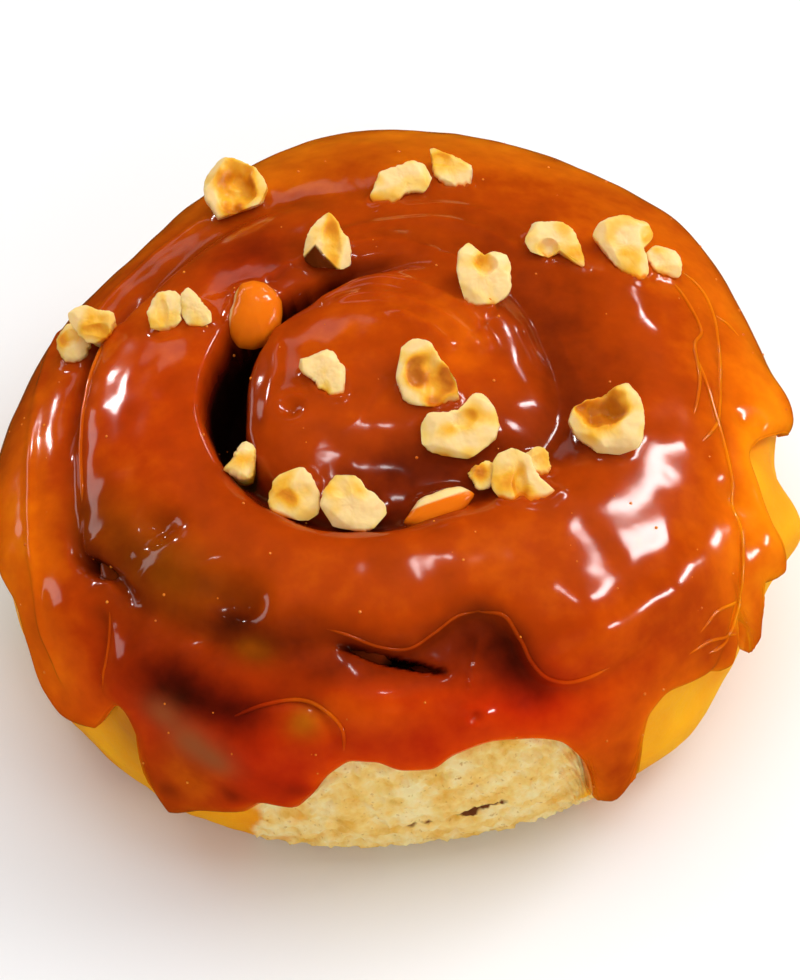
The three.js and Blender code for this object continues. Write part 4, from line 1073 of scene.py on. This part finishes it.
def search_tree(piece):
    mesh = piece.data
    return BVHTree.FromPolygons([v.co for v in mesh.vertices], [p.vertices for p in mesh.polygons])


def positions(piece):
    flat = np.empty(3 * len(piece.data.vertices), np.float32)
    piece.data.vertices.foreach_get("co", flat)
    return flat.reshape(-1, 3).astype(float)


def signed_distance(tree, point, limit):
    """Distance in metres from a surface, below 0 inside it, and limit where it is farther."""
    spot, normal, _, distance = tree.find_nearest(point, limit)
    if spot is None:
        return limit
    return distance if (Vector(point) - spot).dot(normal) > 0 else -distance


def draw_up_collars():
    """Lifts the caramel a little round the foot of every nut."""
    places = positions(caramel)
    azimuth, reach = caramel_places[:2]
    out = body_point(azimuth, reach, 1.0) - body_point(azimuth, reach)
    limit = 3 * COLLAR_WIDTH * MM
    for piece in nuts.values():
        tree = search_tree(piece)
        corners = positions(piece)
        near = np.all((places > corners.min(0) - limit) & (places < corners.max(0) + limit), 1)
        for i in np.nonzero(near & caramel_outside)[0]:
            gap = signed_distance(tree, places[i], limit) / MM
            if gap > 0:
                places[i] += out[i] * MM * COLLAR_HEIGHT * math.exp(-((gap / COLLAR_WIDTH) ** 2))
    caramel.data.vertices.foreach_set("co", places.astype(np.float32).ravel())


draw_up_collars()
caramel_tree = search_tree(caramel)
for node, piece in nuts.items():
    above = [signed_distance(caramel_tree, point, FARTHEST * MM) / MM for point in positions(piece)]
    store(piece, "above", above)
    print(node, "sinks, mm:", round(-min(above), 1), "stands out:", round(max(above), 1))

# %% [markdown]
# ## Strings and bubbles
# Thin strings of caramel fell across the folds as the pouring stopped. Each is a tube that follows a
# line on the skin; a Geometry Nodes tree sweeps a circle along the lines, with its size as a named
# input, and realizes the result.

# %% String lines
# radius, and the azimuth and reach of each station
STRINGS = [
    (0.30, [(8, 42.4), (3, 43.0), (-6, 45.0), (-15, 48.5), (-22, 53.0), (-28, 58.0), (-31, 61.0)]),
    (0.28, [(330, 60.0), (325, 63.5), (318.5, 62.0)]),
    (0.26, [(29, 46.5), (23, 48.5), (13.5, 48.0), (3.5, 46.5), (-6, 45.5), (-13.5, 43.0)]),
    (0.24, [(328.5, 60.5), (323, 57.5), (318, 58.0)]),
    (0.24, [(326, 65.0), (320, 60.5), (315, 59.5)]),
    (0.28, [(27, 43.6), (20, 44.4), (14, 44.6), (10, 42.6), (2, 42.4), (-8, 41.4)]),
    (0.24, [(20, 49.0), (15, 53.0)]),
    (0.32, [(162, 43.6), (170, 43.0), (180, 42.6), (190, 42.6), (200, 43.4), (205, 44.6)]),
    (0.24, [(258, 41), (262.5, 41.8), (267.5, 43.2), (272.5, 43.7), (277, 41.9), (282, 39.9), (287, 39.7)]),
    (0.30, [(286, 39.6), (290.2, 41.6), (291.4, 45.5), (291.8, 49), (293.4, 52), (297, 53.8), (303, 54)]),
    (0.28, [(247, 55.6), (251, 52.9), (256, 51.4), (260.2, 52.6), (262.6, 55.0), (262.8, 59.0)]),
    (0.22, [(223, 50.0), (225.6, 53.0), (227.6, 56.4), (228.4, 60.0)]),
]


def string_paths():
    """An object of open lines with the tube's radius at each point, and where the points are."""
    points, edges, radii, azimuths, reaches = [], [], [], [], []
    for radius, stations in STRINGS:
        line = line_along(stations)
        azimuth = np.degrees(np.arctan2(line[:, 1], line[:, 0])) % 360
        reach = np.hypot(line[:, 0], line[:, 1])
        fade = line_fade(np.arange(len(line)), len(line))
        level = caramel_height(azimuth, reach)[0] + radius * (fade * 0.75 - 0.6)  # the ends dive in
        edges += [(len(points) + i, len(points) + i + 1) for i in range(len(line) - 1)]
        points += list(body_point(azimuth, reach, level))
        radii += list(radius * (0.5 + 0.5 * fade))
        azimuths += list(azimuth)
        reaches += list(reach)
    mesh = bpy.data.meshes.new("string_lines")
    mesh.from_pydata((np.array(points) * MM).tolist(), edges, [])
    piece = add_object("caramel_strings", mesh)
    store(piece, "thickness", radii)
    return piece, np.array(azimuths), np.array(reaches)


strings, *string_places = string_paths()
print("strings:", len(STRINGS), "with", len(strings.data.vertices), "points")


# %% Node tree helper
class Nodes:
    """A node tree whose nodes are added one line at a time."""

    def node(self, kind, settings=None, **inputs):
        """Adds a node. Its inputs go by name, with _ for a space, or as i0, i1 by number."""
        made = self.tree.nodes.new(kind)
        for key, value in (settings or {}).items():
            setattr(made, key, value)
        for key, value in inputs.items():
            numbered = key[0] == "i" and key[1:].isdigit()
            self.put(made.inputs[int(key[1:]) if numbered else key.replace("_", " ")], value)
        return made

    def put(self, socket, value):
        """Links an output to an input, or sets the input's own value."""
        if isinstance(value, bpy.types.NodeSocket):
            self.tree.links.new(value, socket)
        else:
            socket.default_value = value


class Shaping(Nodes):
    """A Geometry Nodes tree with named inputs."""

    def __init__(self, name, **sockets):
        self.tree = bpy.data.node_groups.new(name, "GeometryNodeTree")
        new_socket = self.tree.interface.new_socket
        new_socket("Geometry", in_out="INPUT", socket_type="NodeSocketGeometry")
        for key, kind in sockets.items():
            new_socket(key, in_out="INPUT", socket_type="NodeSocket" + kind)
        new_socket("Geometry", in_out="OUTPUT", socket_type="NodeSocketGeometry")
        self.given = self.tree.nodes.new("NodeGroupInput").outputs
        self.result = self.tree.nodes.new("NodeGroupOutput").inputs[0]

    def attribute(self, name):
        """A number that was stored for each point."""
        kind = {"data_type": "FLOAT"}
        return self.node("GeometryNodeInputNamedAttribute", kind, Name=name).outputs["Attribute"]

    def finish(self, geometry):
        """Ends the tree: real meshes, smooth, with the material that was given."""
        real = self.node("GeometryNodeRealizeInstances", Geometry=geometry)
        smooth = self.node("GeometryNodeSetShadeSmooth", Geometry=real.outputs[0])
        coloured = self.node("GeometryNodeSetMaterial", Geometry=smooth.outputs[0],
                             Material=self.given["Material"])
        self.put(self.result, coloured.outputs[0])


def apply_shaping(piece, tree, **values):
    """Runs a tree on an object with the named values and leaves a plain mesh."""
    modifier = piece.modifiers.new(tree.name, "NODES")
    modifier.node_group = tree
    for socket in tree.interface.items_tree:
        if socket.in_out == "INPUT" and socket.name in values:
            modifier[socket.identifier] = values[socket.name]
    bpy.context.view_layer.update()
    graph = bpy.context.evaluated_depsgraph_get()
    mesh = bpy.data.meshes.new_from_object(piece.evaluated_get(graph), preserve_all_data_layers=True,
                                           depsgraph=graph)
    piece.modifiers.remove(modifier)
    piece.data = mesh
    mesh.name = piece.name
    print(piece.name, "has", len(mesh.polygons), "faces")


# %% [markdown]
# ## Finishes
# Every finish is made of nodes: a colour that varies, a roughness and a fine bump. The helpers below
# add the few kinds of node that they share, so that each material reads as a short recipe.

# %% Material helper
class Recipe(Nodes):
    """A material made of one Principled shader and what feeds it."""

    def __init__(self, name):
        self.material = bpy.data.materials.new(name)
        self.material.use_nodes = True
        self.tree = self.material.node_tree
        self.tree.nodes.clear()
        self.shader = self.node("ShaderNodeBsdfPrincipled")
        self.node("ShaderNodeOutputMaterial", Surface=self.shader.outputs[0])
        self.coordinates = self.node("ShaderNodeTexCoord").outputs["Object"]

    def surface(self, **inputs):
        for key, value in inputs.items():
            self.put(self.shader.inputs[key.replace("_", " ")], value)

    def attribute(self, name):
        return self.node("ShaderNodeAttribute", {"attribute_name": name}).outputs["Fac"]

    def noise(self, scale, detail=3.0, roughness=0.55):
        return self.node("ShaderNodeTexNoise", Vector=self.coordinates, Scale=scale, Detail=detail,
                         Roughness=roughness).outputs["Fac"]

    def math(self, operation, a, b=0.0, c=0.0, clamp=False):
        return self.node("ShaderNodeMath", {"operation": operation, "use_clamp": clamp},
                         i0=a, i1=b, i2=c).outputs[0]

    def uneven(self, value, amount, scale, detail=3.0):
        """A value that noise lifts and lowers by up to half of amount."""
        off = self.math("SUBTRACT", self.noise(scale, detail), 0.5)
        return self.math("MULTIPLY_ADD", off, amount, value)

    def ramp(self, factor, stops):
        made = self.node("ShaderNodeValToRGB", Fac=factor)
        elements = made.color_ramp.elements
        while len(elements) < len(stops):
            elements.new(0.5)
        for element, (position, colour) in zip(elements, stops):
            element.position = position
            element.color = (*colour, 1)
        return made.outputs["Color"]

    def mix(self, factor, a, b, blend="MIX"):
        """One colour over another; each is an output or three numbers."""
        a, b = (x if isinstance(x, bpy.types.NodeSocket) else (*x, 1) for x in (a, b))
        settings = {"data_type": "RGBA", "blend_type": blend}
        return self.node("ShaderNodeMix", settings, Factor=factor, i6=a, i7=b).outputs[2]

    def bump(self, height, strength, distance):
        made = self.node("ShaderNodeBump", Height=height, Strength=strength, Distance=distance)
        self.surface(Normal=made.outputs[0])


# %% [markdown]
# ### Caramel
# Caramel is see-through sugar and butter: thin layers are bright orange and thick ones dark red brown.
# Real transmission would be slow and noisy, so the colour follows the depth of the caramel, with painted
# shade in its seams and gaps, and a little light scatters under the surface, below a clear gloss.

# %% Caramel finish
# painted reflection: a pale pinkish grey laid over the caramel where a dull reflection shows
PAINTED_REFLECTION_TINT = (0.33, 0.080, 0.022)


def caramel_finish():
    """Three families of tone, each from thin to deep, and a pale painted reflection over them in places."""
    made = Recipe("caramel")
    tone = made.attribute("tone")
    for amount, scale, detail in [(0.34, 75, 2.0), (0.28, 190, 3.0), (0.14, 420, 4.0)]:
        tone = made.uneven(tone, amount, scale, detail)
    brown = made.ramp(tone, [
        (0.00, (0.95, 0.240, 0.002)),
        (0.20, (0.73, 0.125, 0.001)),
        (0.42, (0.44, 0.048, 0.001)),
        (0.60, (0.28, 0.027, 0.001)),
        (0.75, (0.15, 0.012, 0.001)),
        (0.87, (0.06, 0.004, 0.001)),
        (1.00, (0.008, 0.002, 0.001)),
    ])
    red = made.ramp(tone, [
        (0.00, (0.95, 0.150, 0.002)),
        (0.20, (0.72, 0.055, 0.001)),
        (0.42, (0.50, 0.019, 0.001)),
        (0.60, (0.28, 0.008, 0.001)),
        (0.75, (0.15, 0.003, 0.001)),
        (0.87, (0.07, 0.002, 0.001)),
        (1.00, (0.008, 0.001, 0.001)),
    ])
    olive = made.ramp(tone, [
        (0.10, (0.56, 0.200, 0.006)),
        (0.40, (0.30, 0.058, 0.001)),
        (0.65, (0.16, 0.022, 0.001)),
        (1.00, (0.010, 0.002, 0.001)),
    ])
    colour = made.mix(made.attribute("red"), brown, red)
    colour = made.mix(made.attribute("olive"), colour, olive)
    colour = made.mix(made.attribute("milky"), colour, PAINTED_REFLECTION_TINT)
    made.surface(Base_Color=colour, Roughness=0.11, IOR=1.45, Subsurface_Weight=0.30,
                 Subsurface_Scale=0.004, Subsurface_Radius=(1.0, 0.28, 0.05))
    made.bump(made.noise(260, 2.0), 0.035, 0.0006)
    return made.material


# %% [markdown]
# ### Hazelnut
# Broken hazelnut is cream coloured, golden where roasting reached it and glossy where caramel crept
# up. Those parts were stored with each mesh, so one recipe serves all the pieces and no two match.

# %% Nut finish
CREAM = [
    (0.00, (0.91, 0.63, 0.27)),
    (0.25, (0.90, 0.57, 0.14)),
    (0.55, (0.86, 0.43, 0.025)),
    (0.80, (0.74, 0.27, 0.006)),
    (1.00, (0.52, 0.14, 0.003)),
]
SYRUP = (0.80, 0.17, 0.004)
BROWN_SKIN = (0.09, 0.013, 0.001)
COAT_LEVEL = 0.25  # the caramel that crept up a nut ends at about this height, in mm
COAT_FADE = 2.2  # how sharply it ends


def nut_finish(name, scatter):
    """Pale broken nut, golden in the scoop, with caramel where it is coated or meets the caramel."""
    made = Recipe(name)
    colour = made.ramp(made.uneven(made.attribute("hollow"), 0.7, 300), CREAM)
    colour = made.mix(made.attribute("brown"), colour, BROWN_SKIN)
    above = made.uneven(made.attribute("above"), 1.0, 300)
    coat = made.math("MULTIPLY_ADD", above, -COAT_FADE, 0.5 + COAT_FADE * COAT_LEVEL, clamp=True)
    coat = made.math("MAXIMUM", coat, made.attribute("coat"))
    colour = made.mix(coat, colour, SYRUP)
    gloss = made.math("MAXIMUM", coat, made.attribute("brown"))
    roughness = made.math("MULTIPLY_ADD", gloss, -0.28, 0.40)
    made.surface(Base_Color=colour, Roughness=roughness, IOR=1.45, Subsurface_Weight=scatter,
                 Subsurface_Scale=0.002, Subsurface_Radius=(1.0, 0.5, 0.18))
    made.bump(made.noise(900, 4.0, 0.6), 0.10, 0.0004)
    return made.material


# %% [markdown]
# ### Dough
# Torn crumb is pale and full of pores, with painted shade in them; the side beside it baked golden in
# butter. The share of torn crumb that was stored with the mesh picks between the two, and amber patches and
# burns lie over both.

# %% Dough finish
# a darker amber laid over the golden crust in the amber patches
AMBER_TINT = (0.60, 0.20, 0.002)
BURNT_BROWN = (0.16, 0.040, 0.006)


def dough_finish():
    """Pale open crumb where the roll was torn off, with painted shade in its pores, golden crust elsewhere,
    and amber patches and burns.
    """
    made = Recipe("dough")
    torn = made.attribute("torn")
    crumb = made.ramp(made.noise(230, 4.0, 0.6), [
        (0.32, (0.84, 0.45, 0.06)),
        (0.47, (0.95, 0.63, 0.18)),
        (0.64, (0.98, 0.78, 0.37)),
    ])
    # painted shade: dark dots stand for the shade inside the crumb's pores
    pores = made.ramp(made.noise(1300, 3.0), [(0.62, (1, 1, 1)), (0.78, (0.55, 0.34, 0.12))])
    crumb = made.mix(1.0, crumb, pores, "MULTIPLY")
    crust = made.ramp(made.noise(45, 3.0), [
        (0.35, (0.88, 0.30, 0.001)),
        (0.55, (1.00, 0.44, 0.002)),
        (0.75, (1.00, 0.55, 0.004)),
    ])
    colour = made.mix(torn, made.mix(made.attribute("amber"), crust, AMBER_TINT), crumb)
    burnt = made.uneven(made.attribute("burnt"), 1.2, 500)
    burnt = made.math("MULTIPLY_ADD", burnt, 3.0, -0.9, clamp=True)
    colour = made.mix(burnt, colour, BURNT_BROWN)
    made.surface(Base_Color=colour, Roughness=0.6, IOR=1.22, Subsurface_Weight=0.2,
                 Subsurface_Scale=0.003)
    made.bump(made.noise(700, 5.0, 0.65), 0.45, 0.0006)
    return made.material


# %% [markdown]
# The depth alone doesn't give every tone: caramel also browned in places and reddened over the front,
# painted shade darkens its dents, seams and gaps, painted light brightens its thin lit rim, and a painted
# reflection lies pale on the front left. Soft patches with a place and a size add those.

# %% Tones of the caramel
USUAL_TONE = 0.42
# deeper caramel is darker, and painted shade darkens an open gap by its depth as well
DEPTH_TONE_AND_GAP_SHADE = 0.06  # for each mm of depth over the usual, and for each mm of an open gap
# painted shade: the seams are darkened beyond the caramel that pools in them
VALLEY_SHADE = 0.04  # for each mm that a seam sinks
EDGE_TONE = -0.34  # where the lip is thin and bright
# azimuth, reach, amount, half width round the roll, half width along the reach
# partly the caramel's own uneven browning, partly painted shade in its dents, seams and gaps and painted
# light on its thin lit rim; more is darker, less is lighter
SHADE_LIGHT_AND_TONE_PATCHES = [
    (90, 50.0, -0.24, 45.0, 12.0),
    (90, 12.0, -0.06, 60.0, 6.0),
    (185, 50.0, -0.16, 14.0, 8.0),
    (128, 31.0, 0.22, 7.0, 7.0),
    (30, 26.0, 0.16, 16.0, 7.0),
    (350, 27.0, 0.10, 10.0, 6.0),
    (2, 54.0, -0.34, 24.0, 8.0),
    (335, 58.0, -0.24, 12.0, 9.0),
    (220, 66.0, -0.30, 8.0, 7.0),
    (204, 58.0, -0.26, 12.0, 8.0),
    (285, 15.0, 0.26, 13.0, 6.0),
    (200, 12.0, 0.06, 8.0, 6.0),
    (209, 45.0, 0.10, 6.0, 4.0),
    (214.5, 47.5, 0.30, 2.5, 2.0),
    (228, 41.5, 0.06, 12.0, 6.0),
    (242, 42.5, 0.38, 3.0, 2.6),
    (247, 45.5, -0.16, 2.5, 1.4),
    (258, 40.0, 0.14, 7.0, 4.0),
    (237.5, 53.5, 0.34, 6.0, 4.5),
    (248, 54.5, 0.30, 4.5, 3.0),
    (242.5, 55.5, 0.20, 5.0, 3.0),
    (257, 54.0, -0.10, 2.4, 2.4),
    (239.5, 71.5, 0.24, 2.0, 1.7),
    (248.5, 68.0, 0.24, 2.0, 1.6),
    (257.5, 65.0, 0.22, 2.0, 1.6),
    (262, 47.0, 0.16, 8.0, 3.0),
    (283, 46.0, 0.22, 6.0, 5.0),
    (290, 50.0, 0.20, 4.0, 6.0),
    (266, 52.0, -0.18, 7.0, 3.0),
    (303, 58.0, -0.20, 9.0, 8.0),
]
REDDER = [
    (252, 62.0, 1.0, 34.0, 14.0),
    (290, 57.0, 0.9, 18.0, 9.0),
    (133, 31.0, 0.5, 7.0, 7.0),
    (190, 36.0, 0.4, 20.0, 12.0),
    (242, 67.0, -0.9, 6.0, 7.0),
]
OLIVE = [
    (100, 46.0, 0.35, 50.0, 14.0),
    (226, 41.0, 1.0, 13.0, 6.0),
    (209, 45.0, 0.4, 6.0, 4.0),
    (257, 54.0, 0.8, 2.6, 2.6),
    (247, 45.5, 1.2, 3.0, 2.0),
]
# painted reflection: pale patches on the front left, where a dull reflection shows
PAINTED_REFLECTION_PATCHES = [
    (246, 62.5, 0.9, 3.2, 2.4),
    (242, 61.0, 0.9, 3.0, 2.6),
    (237.5, 58.5, 0.8, 2.6, 2.0),
]


def caramel_tone(azimuth, reach, height, thick):
    """0 where the caramel is thin and bright, towards 1 where it is deep and dark, with painted shade in
    seams, gaps and dents and painted light on the lit rim.
    """
    valley, gap = seam_relief(azimuth, reach)
    tone = USUAL_TONE + DEPTH_TONE_AND_GAP_SHADE * (thick - CARAMEL) + VALLEY_SHADE * valley + DEPTH_TONE_AND_GAP_SHADE * gap
    # painted shade: deep in a gap the caramel is painted almost black
    tone += 0.8 * np.clip((-height - 4.0) / 4, 0, 1)  # deep in a gap it is almost black
    # the thin lip is lighter all round; painted light makes it brighter still on the right, where the light
    # falls
    lit_side_weight = 0.6 + 0.4 * np.cos(np.radians(azimuth + 15))
    tone += EDGE_TONE * lit_side_weight * np.exp(-edge_distance(azimuth, reach) / 2.2)
    return np.clip(tone + patches(SHADE_LIGHT_AND_TONE_PATCHES, azimuth, reach), 0, 1)


def store_tone(piece, azimuth, reach, height, thick, lighter=0.0):
    """Stores all that the caramel's finish reads."""
    store(piece, "tone", caramel_tone(azimuth, reach, height, thick) - lighter)
    for name, spots in (("red", REDDER), ("olive", OLIVE), ("milky", PAINTED_REFLECTION_PATCHES)):
        store(piece, name, np.clip(patches(spots, azimuth, reach), 0, 1))


STRINGS_LIGHTER = 0.14
store_tone(caramel, *caramel_places)
store_tone(strings, *string_places, *caramel_height(*string_places), lighter=STRINGS_LIGHTER)
print("patches of tone:", len(SHADE_LIGHT_AND_TONE_PATCHES + REDDER + OLIVE + PAINTED_REFLECTION_PATCHES))

# %% Finishes on the pieces
finishes = {"caramel": caramel_finish(), "nut": nut_finish("hazelnut", 0.40),
            "coated_nut": nut_finish("coated_hazelnut", 0.45), "dough": dough_finish()}
caramel.data.materials.append(finishes["caramel"])
dough.data.materials.append(finishes["dough"])
for node, piece in nuts.items():
    piece.data.materials.append(finishes["coated_nut" if node in COATED else "nut"])
print("finishes:", [finish.name for finish in finishes.values()])

# %% [markdown]
# ### Sweeping the strings
# Each line becomes a curve. A circle swept along it, as large as the thickness stored at each point,
# gives a tube that thins out at both ends, which a bevelled curve could do only with handwork.

# %% Strings
STRING_SIDES = 8


def string_sweep():
    """Sweeps a circle along every line, as thick as each point says."""
    shaping = Shaping("sweep_strings", Sides="Int", Scale="Float", Material="Material")
    given = shaping.given
    lines = shaping.node("GeometryNodeMeshToCurve", Mesh=given["Geometry"])
    circle = shaping.node("GeometryNodeCurvePrimitiveCircle", Resolution=given["Sides"], Radius=1.0)
    size = shaping.node("ShaderNodeMath", {"operation": "MULTIPLY"},
                        i0=shaping.attribute("thickness"), i1=given["Scale"])
    swept = shaping.node("GeometryNodeCurveToMesh", Curve=lines.outputs[0],
                         Profile_Curve=circle.outputs[0], Scale=size.outputs[0], Fill_Caps=True)
    shaping.finish(swept.outputs[0])
    return shaping.tree


apply_shaping(strings, string_sweep(), Scale=MM, Sides=STRING_SIDES, Material=finishes["caramel"])

# %% [markdown]
# Pinhead bubbles froze in the caramel, most of them half sunk. Points are scattered over its outer
# face by a seed, and each carries a small ball of a random size.

# %% Bubbles
BUBBLES = 9000.0  # in each square metre
BUBBLE_SEED = 4
SMALLEST_BUBBLE = 0.08
LARGEST_BUBBLE = 0.24


def bubble_scatter():
    """Scatters small balls over the caramel's outer face."""
    shaping = Shaping("scatter_bubbles", Density="Float", Smallest="Float", Largest="Float",
                      Seed="Int", Material="Material")
    given = shaping.given
    spots = shaping.node("GeometryNodeDistributePointsOnFaces", Mesh=given["Geometry"],
                         Density=given["Density"], Seed=given["Seed"])
    picked = shaping.node("GeometryNodeSeparateGeometry", {"domain": "POINT"},
                          Geometry=spots.outputs[0], Selection=shaping.attribute("outside"))
    ball = shaping.node("GeometryNodeMeshUVSphere", Segments=8, Rings=6, Radius=1.0)
    size = shaping.node("FunctionNodeRandomValue", {"data_type": "FLOAT"},
                        i2=given["Smallest"], i3=given["Largest"], Seed=given["Seed"])
    placed = shaping.node("GeometryNodeInstanceOnPoints", Points=picked.outputs[0],
                          Instance=ball.outputs[0], Scale=size.outputs[1])
    shaping.finish(placed.outputs[0])
    return shaping.tree


def bubble_finish():
    """Bubbles are painted paler than the caramel round them, as a painted glint on each."""
    made = Recipe("caramel_bubble_glint")
    # painted highlight: the pale colour stands in for the glint on each bubble
    colour = made.ramp(made.noise(300, 2.0), [(0.35, (0.62, 0.100, 0.004)), (0.65, (0.85, 0.260, 0.020))])
    made.surface(Base_Color=colour, Roughness=0.25, IOR=1.45)
    return made.material


bubbles = add_object("caramel_bubbles", caramel.data.copy())
apply_shaping(bubbles, bubble_scatter(), Density=BUBBLES, Smallest=SMALLEST_BUBBLE * MM,
              Largest=LARGEST_BUBBLE * MM, Seed=BUBBLE_SEED, Material=bubble_finish())

# %% [markdown]
# ## Floor, light and camera
# A plain pale floor and soft studio light. Three broad lights that don't show in the gloss give the
# shape its shade, and smaller ones that show only in the gloss give it its glints: windows at the
# right, lamps overhead and behind, and two dim walls behind and on the left.

# %% Floor
FLOOR_HALF = 3.0

floor_mesh = bpy.data.meshes.new("pale_floor")
corners = [(x * FLOOR_HALF, y * FLOOR_HALF, 0) for x, y in ((-1, -1), (1, -1), (1, 1), (-1, 1))]
floor_mesh.from_pydata(corners, [], [(0, 1, 2, 3)])
floor = add_object("pale_floor", floor_mesh)
floor_finish = Recipe("floor")
floor_finish.surface(Base_Color=(0.86, 0.86, 0.86, 1), Roughness=0.7)
floor.data.materials.append(floor_finish.material)
floor.visible_glossy = False

# %% Lights
LIGHTS_AIM = Vector((0, 0, 0.03))
LAMP_GLARE = 230  # watts for each square metre of a lamp that only shows as a glint


def soft_light(name, azimuth, elevation, distance, size, power, glossy=True, diffuse=True):
    """A rectangular light that faces the roll from an azimuth and an elevation."""
    data = bpy.data.lights.new(name, "AREA")
    data.shape = "RECTANGLE"
    data.size, data.size_y = size
    data.energy = power
    light = add_object(name, data)
    turn, rise = math.radians(azimuth), math.radians(elevation)
    towards = Vector((math.cos(rise) * math.cos(turn), math.cos(rise) * math.sin(turn), math.sin(rise)))
    light.location = LIGHTS_AIM + towards * distance
    light.rotation_euler = towards.to_track_quat("Z", "Y").to_euler()
    light.visible_glossy = glossy
    light.visible_diffuse = diffuse


soft_light("overhead", 90, 80, 1.2, (1.2, 1.2), 9, glossy=False)
soft_light("window_light", 25, 42, 1.0, (0.6, 0.6), 5, glossy=False)
soft_light("front_fill", 285, 30, 1.2, (0.8, 0.6), 3, glossy=False)
GLINTS = {  # azimuth, elevation, width, height, share of the glare
    "window": (34, 47, 0.085, 0.36, 0.36),
    "low_window": (4, 8, 0.28, 0.06, 0.40),
    "low_window_left": (338, 12, 0.18, 0.08, 0.40),
    "ceiling_lamp": (55, 79, 0.10, 0.04, 0.28),
    "back_lamp": (131, 29, 0.05, 0.10, 0.80),
    "side_lamp": (60, 30, 0.03, 0.04, 0.80),
    "back_wall": (110, 35, 0.30, 0.16, 0.012),
    "left_wall": (156, 13, 0.60, 0.26, 0.032),
}
for name, (azimuth, elevation, wide, high, share) in GLINTS.items():
    soft_light(name, azimuth, elevation, 1.0, (wide, high), share * LAMP_GLARE * wide * high, diffuse=False)
print("lights:", [light.name for light in bpy.data.lights])

# %% Room
ROOM_LIGHT = 0.42
ROOM_MIRRORED = (0.10, 0.045, 0.005)  # dim and warm behind the lamps

world = bpy.data.worlds.new("studio")
world.use_nodes = True
ray = world.node_tree.nodes.new("ShaderNodeLightPath").outputs["Is Glossy Ray"]
room = world.node_tree.nodes.new("ShaderNodeMix")
room.data_type = "RGBA"
room.inputs["A"].default_value = (ROOM_LIGHT, ROOM_LIGHT, ROOM_LIGHT, 1)
room.inputs["B"].default_value = (*ROOM_MIRRORED, 1)
world.node_tree.links.new(ray, room.inputs["Factor"])
world.node_tree.links.new(room.outputs["Result"], world.node_tree.nodes["Background"].inputs["Color"])
bpy.context.scene.world = world

# %% [markdown]
# The camera looks down from the front, from as near as gives the perspective of a close-up.

# %% Camera
CAMERA_ELEVATION = 51.0
CAMERA_DISTANCE = 0.450
CAMERA_AIM = Vector((0.00042, -0.00183, 0.01852))
ROLL_MIDDLE = Vector((0, 0, 0.020))
PICTURE_HEIGHT = 980
PIXELS_PER_RADIAN = 3250
SENSOR = 36.0

camera_data = bpy.data.cameras.new("camera")
camera_data.sensor_width = SENSOR
camera_data.lens = SENSOR * PIXELS_PER_RADIAN / PICTURE_HEIGHT
camera_data.clip_start = 0.01
camera = add_object("camera", camera_data)
rise = math.radians(CAMERA_ELEVATION)
camera.location = ROLL_MIDDLE + Vector((0, -math.cos(rise), math.sin(rise))) * CAMERA_DISTANCE
camera.rotation_euler = (camera.location - CAMERA_AIM).to_track_quat("Z", "Y").to_euler()
bpy.context.scene.camera = camera
bpy.context.scene.view_settings.view_transform = "Standard"
print("lens, mm:", round(camera_data.lens, 1))

# %% [markdown]
# ## Handing the pieces to the frame
# Each piece stands for its node of the model and moves with the one body.

# %% Pieces
def hand_over(piece, node):
    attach(piece, "root")
    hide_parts(node)


hand_over(dough, "bun")
hand_over(caramel, "caramel")
for node, piece in nuts.items():
    hand_over(piece, node)
for piece in (strings, bubbles):
    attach(piece, "root")
